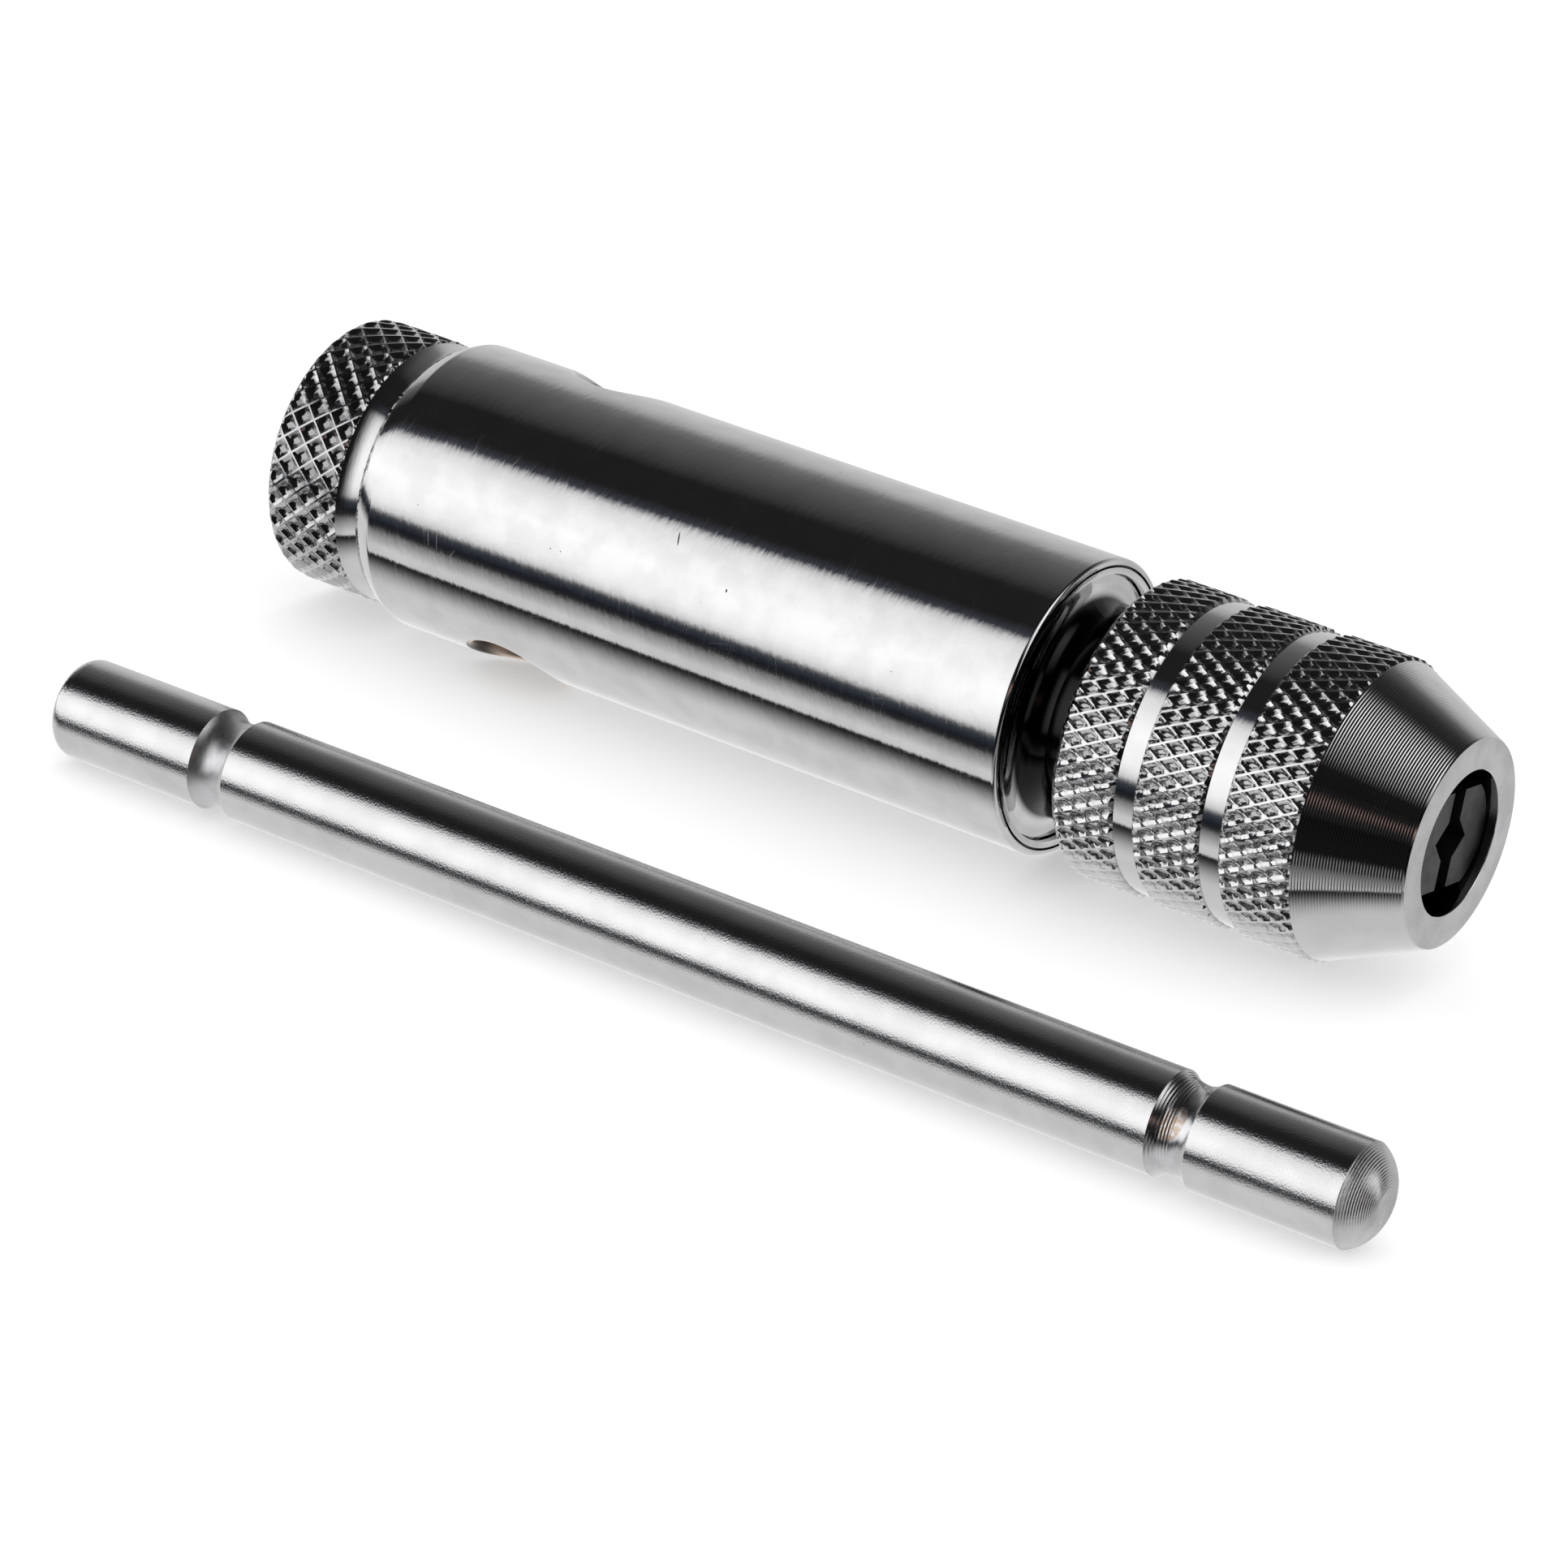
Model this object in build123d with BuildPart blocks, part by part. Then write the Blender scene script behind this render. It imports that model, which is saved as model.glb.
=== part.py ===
"""Ratchet tap wrench: a chrome barrel with a reversing knob, a two-jaw chuck and a loose T-bar.

Units are millimetres. +X runs along the wrench's axis towards the chuck, +Z is up, and the
origin is the centre of the cross hole that takes the T-bar. The wrench lies on its side and the
bar lies beside it.
"""
from build123d import *
import math
import os

os.makedirs("parts", exist_ok=True)

# Driving dimensions: barrel, cross hole and bar
barrel_diameter = 23.0
barrel_length = 59.3
barrel_wall = 1.2
hole_setback = 12.9
rear_bevel_length = 1.8
rear_bevel_depth = 0.85
front_edge_bevel = 0.2
rear_lip_length = 1.85
rear_lip_width = 0.9
hole_edge_round = 0.4
bar_diameter = 7.5
bar_length = 108.75
bar_play = 0.25
bar_groove_inset = 14.575
bar_groove_width = 3.0
bar_groove_depth = 0.57
bar_tip_flat_radius = 1.2
bar_tip_angle = 54.0
bar_tip_crown = 0.38
bar_cut_end_round = 1.2
hole_roll = 26.0

# Driving dimensions: reversing knob and its fork
knob_diameter = 21.3
knob_knurl_length = 6.85
knob_land_length = 1.45
knob_land_step = 0.15
knob_edge_round = 0.8
knob_front_round = 0.5
knob_gap = 0.65
spigot_radius = 6.4
spigot_flat_width = 10.4
spigot_length = 2.0
hub_width = 3.0
neck_play = 0.1
fork_play = 0.08
fork_end_play = 0.1
leg_thickness = 1.9
leg_half_angle = 15.0
selector_swing = 22.0
knob_screw_radius = 2.5
knob_screw_head_radius = 4.6
knob_screw_depth = 9.0
screw_head_sink = 0.3
screw_slot_width = 1.0
screw_slot_depth = 1.1

# Driving dimensions: ratchet
core_front = 18.3
core_half_height = 6.2
wheel_teeth = 12
wheel_tooth_height = 1.4
wheel_wall = 0.86
wheel_width = 7.0
wheel_core_gap = 0.7
wheel_bush_gap = 0.3
tooth_tip_half_angle = 3.5
tooth_root_half_angle = 6.5
square_play = 0.05
pawl_bore_gap = 1.2
pawl_thickness = 1.5
pawl_pivot_inset = 0.7
pawl_wheel_gap = 1.1
pawl_tooth_bite = 0.45
pawl_nose_angle = -30.0
pawl_nose_end_angle = -34.0
pawl_tail_angle = 44.0
pawl_hub_radius = 1.8
pawl_pin_radius = 1.0
pin_play = 0.05
pawl_front_inset = 0.3
pawl_spring_room = 2.0
pin_depth = 5.0
pin_stand_out = 0.2
tooth_heel = 0.5
tooth_toe = 0.2
tooth_heel_root = 0.75
tooth_toe_root = 1.1
tooth_root_bite = 0.4

# Driving dimensions: spindle and its bearing
bush_wall = 1.25
journal_play = 0.05
flange_play = 0.15
flange_width = 2.9
flange_sink = 0.6
snap_ring_width = 0.8
snap_ring_depth = 0.45
snap_ring_bite = 0.85
snap_ring_play = 0.05
snap_ring_gap_angle = 30.0
spindle_neck_fillet = 2.2
flange_land = 0.3
thread_depth = 0.85
thread_play = 0.08
thread_setback = 6.2
thread_cone_gap = 1.0
spindle_nose_length = 3.2
spindle_nose_step = 1.55
shank_bore_radius = 5.2
shank_bore_web = 6.0
tail_screw_radius = 2.0
tail_screw_length = 9.0
tail_screw_head_radius = 3.5
tail_screw_head_height = 2.2
tail_screw_end_bevel = 0.4
screw_head_room = 0.4
screw_head_depth_room = 0.8
bush_bevel = 0.3
washer_width = 1.0
washer_play = 0.1

# Driving dimensions: chuck sleeve and jaws
sleeve_length = 27.3
sleeve_gap = 4.6
knurl_lengths = (5.3, 5.6, 5.85)
band_width = 1.6
band_depth = 0.3
cone_start_step = 0.2
nose_face_width = 2.44
nose_hole_radius = 5.5
nose_hole_length = 1.2
sleeve_rear_bevel = 0.5
rear_bore_wall = 2.2
rear_bore_depth = 4.0
thread_wall = 3.27
sleeve_thread_length = 9.0
chamber_wall = 2.7
jaw_cone_angle = 25.2
stop_ring_width = 0.9
stop_ring_setback = 1.5
stop_ring_bite = 0.6
stop_ring_play = 0.1
stop_ring_neck_play = 0.2
jaw_roll = 5.0
jaw_length = 15.0
jaw_head_length = 9.8
jaw_width = 7.4
jaw_recess = 0.8
jaw_slot_play = 0.06
jaw_slot_end_play = 0.2
jaw_gap = 1.7
jaw_notch_depth = 1.45
jaw_cone_play = 0.12
jaw_back_inset = 1.15
jaw_tail_step = 0.65
jaw_closed_play = 0.1
jaw_spring_wire_radius = 0.4
jaw_spring_radius = 4.7
jaw_spring_gap_angle = 50.0
jaw_relief_length = 1.6

# Driving dimensions: balls and springs
bar_ball_radius = 1.5
bar_ball_reach = 0.2
bar_ball_lip = 0.35
bar_ball_mouth_radius = 1.22
ball_play = 0.05
spring_play = 0.15
spring_seat_play = 0.03
bar_plug_length = 2.9
bar_plug_slot_width = 0.5
bar_plug_slot_depth = 1.0
bar_plug_sink = 0.1
spring_seat_share = 0.7
ball_seat_share = 0.9
ball_spring_turns = 5
pawl_spring_turns = 3
detent_ball_radius = 1.0
detent_notch_radius = 0.8
detent_notch_depth = 0.25
detent_well_depth = 5.82
spring_wire_radius = 0.22
pawl_spring_wire_radius = 0.18

# Driving dimensions: where the loose bar lies
bar_centre_x = 42.5
bar_centre_y = -42.75
bar_yaw = 0.95

# Derived sizes: barrel, knob and fork
barrel_rear = -hole_setback
barrel_front = barrel_rear + barrel_length
barrel_radius = barrel_diameter / 2
bore_radius = barrel_radius - barrel_wall
lip_radius = bore_radius - rear_lip_width
lip_front = barrel_rear + rear_lip_length
bar_radius = bar_diameter / 2
bar_hole_radius = bar_radius + bar_play
knob_radius = knob_diameter / 2
knob_front = barrel_rear - knob_gap
knob_knurl_front = knob_front - knob_land_length
knob_rear = knob_knurl_front - knob_knurl_length
neck_radius = lip_radius - neck_play
fork_radius = bore_radius - fork_play
leg_inner_radius = fork_radius - leg_thickness
hub_rear = lip_front + fork_end_play / 2
hub_front = hub_rear + hub_width
core_rear = hub_front + fork_end_play
detent_well_floor = fork_radius - detent_well_depth

# Derived sizes: ratchet
wheel_back = core_front + wheel_core_gap
wheel_front = wheel_back + wheel_width
pawl_back = core_front + pawl_spring_room
pawl_front = wheel_front - pawl_front_inset
pawl_outer_radius = bore_radius - pawl_bore_gap
pawl_inner_radius = pawl_outer_radius - pawl_thickness
pawl_pivot_radius = pawl_outer_radius - pawl_pivot_inset
wheel_tip_radius = pawl_inner_radius - pawl_wheel_gap
wheel_root_radius = wheel_tip_radius - wheel_tooth_height
pawl_tip_radius = wheel_tip_radius - pawl_tooth_bite
square_side = (wheel_root_radius - wheel_wall) * math.sqrt(2)

# Derived sizes: chuck sleeve, turned to the barrel's diameter
sleeve_diameter = barrel_diameter
sleeve_radius = sleeve_diameter / 2
sleeve_rear = barrel_front + sleeve_gap
sleeve_nose = sleeve_rear + sleeve_length
nose_face_radius = nose_hole_radius + nose_face_width
rear_bore_radius = sleeve_radius - rear_bore_wall
rear_bore_end = sleeve_rear + rear_bore_depth
sleeve_thread_end = rear_bore_end + sleeve_thread_length
chamber_radius = sleeve_radius - chamber_wall
jaw_slope = math.tan(math.radians(jaw_cone_angle))
cone_inner_end = sleeve_nose - nose_hole_length
cone_inner_start = cone_inner_end - (chamber_radius - nose_hole_radius) / jaw_slope

# Derived sizes: spindle and its bearing
flange_front = barrel_front - flange_sink
flange_rear = flange_front - flange_width
flange_radius = bore_radius - flange_play
bush_rear = wheel_front + wheel_bush_gap
bush_front = flange_rear - washer_width - washer_play
bush_bore_radius = bore_radius - bush_wall
journal_radius = bush_bore_radius - journal_play
thread_radius = sleeve_radius - thread_wall - thread_play
spindle_neck_radius = thread_radius - thread_depth
thread_rear = sleeve_rear + thread_setback
thread_front = cone_inner_start - thread_cone_gap
spindle_front = thread_front + spindle_nose_length
shank_bore_bottom = wheel_front + shank_bore_web

# Derived sizes: stop ring and jaws
stop_ring_rear = sleeve_rear + stop_ring_setback
stop_ring_inner_radius = spindle_neck_radius + stop_ring_neck_play
stop_ring_outer_radius = rear_bore_radius + stop_ring_bite
jaw_front = sleeve_nose - jaw_recess
jaw_rear = jaw_front - jaw_length
jaw_tail_end = jaw_front - jaw_head_length
jaw_back_radius = thread_radius - jaw_back_inset
jaw_tail_back_radius = jaw_back_radius - jaw_tail_step
jaw_inward_travel = (jaw_gap - jaw_closed_play) / 2

# Derived directions: along the cross hole and along the jaws' travel
roll = math.radians(hole_roll)
bar_direction = (0, math.sin(roll), math.cos(roll))
jaw_direction = (0, math.cos(math.radians(jaw_roll)), -math.sin(math.radians(jaw_roll)))
over = 1.0


def station(x):
    """The plane across the wrench at x: its own x runs along the cross hole."""
    return Plane(origin=(x, 0, 0), x_dir=bar_direction, z_dir=(1, 0, 0))


def jaw_station(x):
    """The plane across the chuck at x: its own x runs along the jaws' travel."""
    return Plane(origin=(x, 0, 0), x_dir=jaw_direction, z_dir=(1, 0, 0))


def turned(points):
    """Face of a turned piece, from (x, radius) points, inside a sketch on Plane.XZ."""
    with BuildLine() as outline:
        Polyline(*points, close=True)
    make_face(outline.edges())


def polar(radius, angle):
    """Point at a radius and an angle in degrees."""
    a = math.radians(angle)
    return (radius * math.cos(a), radius * math.sin(a))


def save(part, name):
    """Label a finished piece and write it."""
    part.label = name
    export_step(part, "parts/" + name + ".step")


# Barrel: a thin tube with a lip at the rear, the cross hole and the notches for the knob
with BuildPart() as barrel:
    with BuildSketch(Plane.XZ):
        turned([
            (barrel_rear, lip_radius),
            (barrel_rear, barrel_radius - rear_bevel_depth),
            (barrel_rear + rear_bevel_length, barrel_radius),
            (barrel_front - front_edge_bevel, barrel_radius),
            (barrel_front, barrel_radius - front_edge_bevel),
            (barrel_front, bore_radius),
            (lip_front, bore_radius),
            (lip_front, lip_radius),
        ])
    revolve(axis=Axis.X)
    outside_before = barrel.edges()
    with BuildSketch(Plane(origin=(0, 0, 0), z_dir=bar_direction)):
        Circle(bar_hole_radius)
    extrude(amount=barrel_radius + over, both=True, mode=Mode.SUBTRACT)
    mouth_edges = (barrel.edges() - outside_before).filter_by(
        lambda e: (e @ 0.25).Y ** 2 + (e @ 0.25).Z ** 2 > (barrel_radius - barrel_wall / 2) ** 2)
    fillet(mouth_edges, hole_edge_round)
    # Three shallow notches in the bore hold the knob at right, locked and left
    with BuildSketch(station(lip_front)):
        for angle in (-selector_swing, 0, selector_swing):
            with Locations(polar(bore_radius + detent_notch_depth - detent_notch_radius, angle)):
                Circle(detent_notch_radius)
    extrude(amount=hub_front - lip_front, mode=Mode.SUBTRACT)
    # Groove for the ring that keeps the spindle in
    ring_middle = (flange_rear + flange_front) / 2
    groove_half = snap_ring_width / 2 + snap_ring_play
    with BuildSketch(Plane.XZ):
        turned([
            (ring_middle - groove_half, bore_radius - over),
            (ring_middle + groove_half, bore_radius - over),
            (ring_middle + groove_half, bore_radius + snap_ring_depth),
            (ring_middle - groove_half, bore_radius + snap_ring_depth),
        ])
    revolve(axis=Axis.X, mode=Mode.SUBTRACT)
save(barrel.part, "barrel")

# Core: the block pressed into the barrel that guides the bar and carries the pawls
bar_ball_centre = bar_hole_radius - bar_ball_reach + bar_ball_radius
bar_well_radius = bar_ball_radius + ball_play
head_well_depth = tail_screw_head_height + screw_head_depth_room
head_well_bottom = core_front - head_well_depth
pawl_pivots = [polar(pawl_pivot_radius, 0), polar(pawl_pivot_radius, 180)]
with BuildPart() as core:
    with BuildSketch(station(core_rear)):
        Circle(bore_radius)
        Rectangle(2 * bore_radius + over, 2 * core_half_height, mode=Mode.INTERSECT)
    extrude(amount=core_front - core_rear)
    with BuildSketch(Plane(origin=(0, 0, 0), z_dir=bar_direction)):
        Circle(bar_hole_radius)
    extrude(amount=barrel_radius + over, both=True, mode=Mode.SUBTRACT)
    # Well for the ball, with a narrower mouth that keeps it in, and room for a screw head
    with BuildSketch(station(0)):
        Circle(bar_ball_mouth_radius)
    extrude(amount=head_well_bottom, mode=Mode.SUBTRACT)
    with BuildSketch(station(bar_hole_radius + bar_ball_lip)):
        Circle(bar_well_radius)
    extrude(amount=core_front, mode=Mode.SUBTRACT)
    with BuildSketch(station(head_well_bottom)):
        Circle(tail_screw_head_radius + screw_head_room)
    extrude(amount=head_well_depth, mode=Mode.SUBTRACT)
    with BuildSketch(station(core_front - pin_depth)):
        with Locations(*pawl_pivots):
            Circle(pawl_pin_radius)
    extrude(amount=pin_depth, mode=Mode.SUBTRACT)
save(core.part, "bar_carrier")


def coil(plane, height, radius, wire, turns):
    """A coil spring that stands on a plane, as the sweep of its wire along a helix."""
    with BuildPart() as spring:
        with BuildLine() as path:
            Helix(pitch=height / turns, height=height, radius=radius)
        with BuildSketch(Plane(origin=path.line @ 0, z_dir=path.line % 0)):
            Circle(wire)
        sweep(is_frenet=True)
    return spring.part.moved(Location(plane))


# Ball, spring and plug that hold the bar by its grooves
with BuildPart() as bar_ball:
    with BuildSketch(Plane.XZ):
        with BuildLine():
            Polyline((-bar_ball_radius, 0), (bar_ball_radius, 0))
            CenterArc((0, 0), bar_ball_radius, 0, 180)
        make_face()
    revolve(axis=Axis.X)
save(bar_ball.part.moved(Location((bar_ball_centre, 0, 0))), "bar_detent_ball")

plug_front = head_well_bottom - bar_plug_sink
plug_rear = plug_front - bar_plug_length
bar_spring_radius = bar_ball_radius * spring_seat_share
bar_spring_rear = bar_ball_centre + bar_ball_radius * ball_seat_share + spring_wire_radius
bar_spring_height = plug_rear - spring_wire_radius - spring_seat_play - bar_spring_rear
save(coil(station(bar_spring_rear), bar_spring_height, bar_spring_radius, spring_wire_radius,
          ball_spring_turns),
     "bar_detent_spring")

with BuildPart() as bar_plug:
    with BuildSketch(station(plug_rear)):
        Circle(bar_well_radius)
    extrude(amount=bar_plug_length)
    with BuildSketch(station(plug_front)):
        Rectangle(2 * bar_well_radius, bar_plug_slot_width)
    extrude(amount=-bar_plug_slot_depth, mode=Mode.SUBTRACT)
save(bar_plug.part, "bar_detent_plug")

# Selector fork: hub behind the core, neck through the lip, spigot in the knob, two long legs
leg_front = pawl_front
spigot_rear = knob_front - spigot_length
with BuildPart() as fork:
    with BuildSketch(Plane.XZ):
        turned([
            (hub_front, 0),
            (hub_front, fork_radius),
            (hub_rear, fork_radius),
            (hub_rear, neck_radius),
            (knob_front, neck_radius),
            (knob_front, spigot_radius),
            (spigot_rear, spigot_radius),
            (spigot_rear, 0),
        ])
    revolve(axis=Axis.X)
    # Two flats on the spigot turn the fork with the knob
    with BuildSketch(station(spigot_rear)):
        Circle(spigot_radius + over)
        Rectangle(4 * spigot_radius, spigot_flat_width, mode=Mode.SUBTRACT)
    extrude(amount=spigot_length, mode=Mode.SUBTRACT)
    with BuildSketch(station(hub_front)):
        for side in (90, 270):
            with BuildLine():
                outer = CenterArc((0, 0), fork_radius, side - leg_half_angle, 2 * leg_half_angle)
                inner = CenterArc((0, 0), leg_inner_radius, side - leg_half_angle, 2 * leg_half_angle)
                Line(outer @ 0, inner @ 0)
                Line(outer @ 1, inner @ 1)
            make_face()
    extrude(amount=leg_front - hub_front)
    with BuildSketch(station(spigot_rear)):
        Circle(knob_screw_radius)
    extrude(amount=knob_screw_depth - (spigot_rear - knob_rear), mode=Mode.SUBTRACT)
    # Well for the selector's ball and spring, out along the cross hole's direction
    detent_x = (hub_front + hub_rear) / 2
    with BuildSketch(Plane(origin=(detent_x, 0, 0), z_dir=bar_direction).offset(detent_well_floor)):
        Circle(detent_ball_radius + ball_play)
    extrude(amount=fork_radius, mode=Mode.SUBTRACT)
save(fork.part, "selector_fork")

# Reversing knob: a knurled disc with a smooth land towards the barrel
knob_head_floor = knob_rear + screw_head_sink
with BuildPart() as knob:
    land_radius = knob_radius - knob_land_step
    with BuildSketch(Plane.XZ):
        turned([
            (knob_rear, 0),
            (knob_rear, knob_radius),
            (knob_knurl_front, knob_radius),
            (knob_knurl_front, land_radius),
            (knob_front, land_radius),
            (knob_front, 0),
        ])
    revolve(axis=Axis.X)
    fillet(knob.faces().sort_by(Axis.X)[0].edges(), knob_edge_round)
    fillet(knob.faces().sort_by(Axis.X)[-1].edges(), knob_front_round)
    with BuildSketch(station(spigot_rear - neck_play)):
        Circle(spigot_radius + square_play)
        Rectangle(4 * spigot_radius, spigot_flat_width + 2 * square_play, mode=Mode.INTERSECT)
    extrude(amount=spigot_length + over, mode=Mode.SUBTRACT)
    # Countersunk hole for the screw
    with BuildSketch(Plane.XZ):
        turned([
            (knob_rear - over, 0),
            (knob_rear - over, knob_screw_head_radius + ball_play),
            (knob_head_floor, knob_screw_head_radius + ball_play),
            (knob_head_floor + knob_screw_head_radius - knob_screw_radius, knob_screw_radius + ball_play),
            (knob_front, knob_screw_radius + ball_play),
            (knob_front, 0),
        ])
    revolve(axis=Axis.X, mode=Mode.SUBTRACT)
save(knob.part, "selector_knob")

# Slotted countersunk screw that holds the knob to the fork
with BuildPart() as knob_screw:
    with BuildSketch(Plane.XZ):
        turned([
            (knob_head_floor, 0),
            (knob_head_floor, knob_screw_head_radius),
            (knob_head_floor + knob_screw_head_radius - knob_screw_radius, knob_screw_radius),
            (knob_rear + knob_screw_depth - screw_head_sink, knob_screw_radius),
            (knob_rear + knob_screw_depth - screw_head_sink, 0),
        ])
    revolve(axis=Axis.X)
    with BuildSketch(station(knob_head_floor)):
        Rectangle(2 * knob_screw_head_radius + over, screw_slot_width)
    extrude(amount=screw_slot_depth, mode=Mode.SUBTRACT)
save(knob_screw.part, "knob_screw")

# Ball and spring that click into the barrel's notches
detent_ball_centre = fork_radius + fork_play / 2 - detent_ball_radius
detent_plane = Plane(origin=(detent_x, 0, 0), x_dir=(1, 0, 0), z_dir=bar_direction)
with BuildPart() as detent_ball:
    Sphere(detent_ball_radius)
save(detent_ball.part.moved(Location(detent_plane.offset(detent_ball_centre))), "selector_detent_ball")

detent_spring_foot = detent_well_floor + spring_wire_radius + spring_seat_play
detent_spring_top = detent_ball_centre - detent_ball_radius * ball_seat_share - spring_wire_radius
save(coil(detent_plane.offset(detent_spring_foot), detent_spring_top - detent_spring_foot,
          detent_ball_radius * spring_seat_share, spring_wire_radius, ball_spring_turns),
     "selector_detent_spring")

# Ratchet wheel on the spindle's square tail
pitch_angle = 360 / wheel_teeth
with BuildPart() as wheel:
    with BuildSketch(station(wheel_back)):
        with BuildLine():
            corners = []
            for tooth in range(wheel_teeth):
                middle = (tooth + 0.5) * pitch_angle
                corners.append(polar(wheel_root_radius, middle - tooth_root_half_angle))
                corners.append(polar(wheel_tip_radius, middle - tooth_tip_half_angle))
                corners.append(polar(wheel_tip_radius, middle + tooth_tip_half_angle))
                corners.append(polar(wheel_root_radius, middle + tooth_root_half_angle))
            Polyline(*corners, close=True)
        make_face()
        Rectangle(square_side + 2 * square_play, square_side + 2 * square_play, mode=Mode.SUBTRACT)
    extrude(amount=wheel_width)
save(wheel.part, "ratchet_wheel")

# Screw and head that clamp the wheel to the spindle
with BuildPart() as wheel_screw:
    with BuildSketch(station(wheel_back)):
        Circle(tail_screw_head_radius)
    extrude(amount=-tail_screw_head_height)
    with BuildSketch(station(wheel_back)):
        Circle(tail_screw_radius)
    extrude(amount=tail_screw_length)
    with BuildSketch(station(wheel_back - tail_screw_head_height)):
        Rectangle(2 * tail_screw_head_radius + over, screw_slot_width)
    extrude(amount=screw_slot_depth, mode=Mode.SUBTRACT)
    chamfer(wheel_screw.edges().filter_by(GeomType.CIRCLE).sort_by(Axis.X)[-1],
            tail_screw_end_bevel)
save(wheel_screw.part, "wheel_screw")


# Pawls: a curved rocker on each side, mirrored, with one tooth for the wheel
def pawl(mirrored):
    """One pawl. The right one works beside the fork leg, the left one is its mirror image."""
    with BuildPart() as piece:
        with BuildSketch(station(pawl_back)) as outline:
            sweep_angle = pawl_tail_angle - pawl_nose_end_angle
            with BuildLine():
                outer = CenterArc((0, 0), pawl_outer_radius, pawl_nose_end_angle, sweep_angle)
                inner = CenterArc((0, 0), pawl_inner_radius, pawl_nose_end_angle, sweep_angle)
                Line(outer @ 0, inner @ 0)
                Line(outer @ 1, inner @ 1)
            make_face()
            with Locations(polar(pawl_pivot_radius, 0)):
                Circle(pawl_hub_radius)
            nose = math.radians(pawl_nose_angle)
            along = Vector(-math.sin(nose), math.cos(nose))
            out = Vector(math.cos(nose), math.sin(nose))
            tip = out * pawl_tip_radius
            base = out * (pawl_inner_radius + tooth_root_bite)
            with BuildLine():
                Polyline(tip - along * tooth_heel, tip + along * tooth_toe,
                         base + along * tooth_toe_root, base - along * tooth_heel_root, close=True)
            make_face()
            with Locations(polar(pawl_pivot_radius, 0)):
                Circle(pawl_pin_radius + pin_play, mode=Mode.SUBTRACT)
            if mirrored:
                mirror(about=Plane.YZ, mode=Mode.REPLACE)
        extrude(amount=pawl_front - pawl_back)
    return piece.part


save(pawl(False), "pawl_right")
save(pawl(True), "pawl_left")

# Pawl pins, pressed into the core
pin_front = pawl_front + pin_stand_out
for name, pivot in zip(("pawl_pin_right", "pawl_pin_left"), pawl_pivots):
    with BuildPart() as pin:
        with BuildSketch(station(core_front - pin_depth)):
            with Locations(pivot):
                Circle(pawl_pin_radius)
        extrude(amount=pin_front - (core_front - pin_depth))
    save(pin.part, name)

# Small coil on each pin that urges its pawl into the wheel
pawl_spring_radius = pawl_pin_radius + spring_play + pawl_spring_wire_radius
pawl_spring_foot = core_front + pawl_spring_wire_radius + spring_seat_play
pawl_spring_height = pawl_back - pawl_spring_wire_radius - spring_seat_play - pawl_spring_foot
for name, pivot in zip(("pawl_spring_right", "pawl_spring_left"), pawl_pivots):
    foot = station(pawl_spring_foot)
    seat = Plane(origin=foot.from_local_coords(Vector(*pivot, 0)), x_dir=foot.x_dir, z_dir=foot.z_dir)
    save(coil(seat, pawl_spring_height, pawl_spring_radius, pawl_spring_wire_radius,
              pawl_spring_turns), name)

# Front bearing bush, pressed into the barrel
with BuildPart() as bush:
    with BuildSketch(station(bush_rear)):
        Circle(bore_radius)
        Circle(bush_bore_radius, mode=Mode.SUBTRACT)
    extrude(amount=bush_front - bush_rear)
    chamfer(bush.edges().filter_by(GeomType.CIRCLE).sort_by(SortBy.RADIUS)[:2], bush_bevel)
save(bush.part, "front_bush")

# Thrust washer between the bush and the spindle's flange
with BuildPart() as washer:
    with BuildSketch(station(bush_front + washer_play / 2)):
        Circle(bore_radius - neck_play)
        Circle(bush_bore_radius, mode=Mode.SUBTRACT)
    extrude(amount=washer_width)
save(washer.part, "thrust_washer")

# Spindle: square tail, journal, flange, waist, threaded body and the slot for the jaws
with BuildPart() as spindle:
    ring_bottom = flange_radius - snap_ring_bite
    with BuildSketch(Plane.XZ):
        turned([
            (wheel_front, 0),
            (wheel_front, journal_radius),
            (flange_rear, journal_radius),
            (flange_rear, flange_radius),
            (ring_middle - groove_half, flange_radius),
            (ring_middle - groove_half, ring_bottom),
            (ring_middle + groove_half, ring_bottom),
            (ring_middle + groove_half, flange_radius),
            (flange_front, flange_radius),
            (flange_front, spindle_neck_radius),
            (thread_rear, spindle_neck_radius),
            (thread_rear, thread_radius),
            (thread_front, thread_radius),
            (spindle_front, thread_radius - spindle_nose_step),
            (spindle_front, 0),
        ])
    revolve(axis=Axis.X)
    flange_face = spindle.faces().filter_by(Axis.X).filter_by_position(
        Axis.X, flange_front - spring_play, flange_front + spring_play)
    neck_corner = flange_face.edges().sort_by(SortBy.RADIUS)[0]
    fillet(neck_corner, min(spindle_neck_fillet, flange_radius - spindle_neck_radius - flange_land))
    with BuildSketch(station(wheel_back + pin_play)):
        Rectangle(square_side, square_side)
    extrude(amount=wheel_front - wheel_back)
    with BuildSketch(station(wheel_back)):
        Circle(tail_screw_radius)
    extrude(amount=tail_screw_length + screw_head_room, mode=Mode.SUBTRACT)
    with BuildSketch(station(shank_bore_bottom)):
        Circle(shank_bore_radius)
    extrude(amount=spindle_front - shank_bore_bottom + over, mode=Mode.SUBTRACT)
    with BuildSketch(jaw_station(jaw_rear - jaw_slot_end_play)):
        Rectangle(4 * thread_radius, jaw_width + 2 * jaw_slot_play)
    extrude(amount=spindle_front - jaw_rear + jaw_slot_end_play + over, mode=Mode.SUBTRACT)
save(spindle.part, "spindle")


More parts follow.
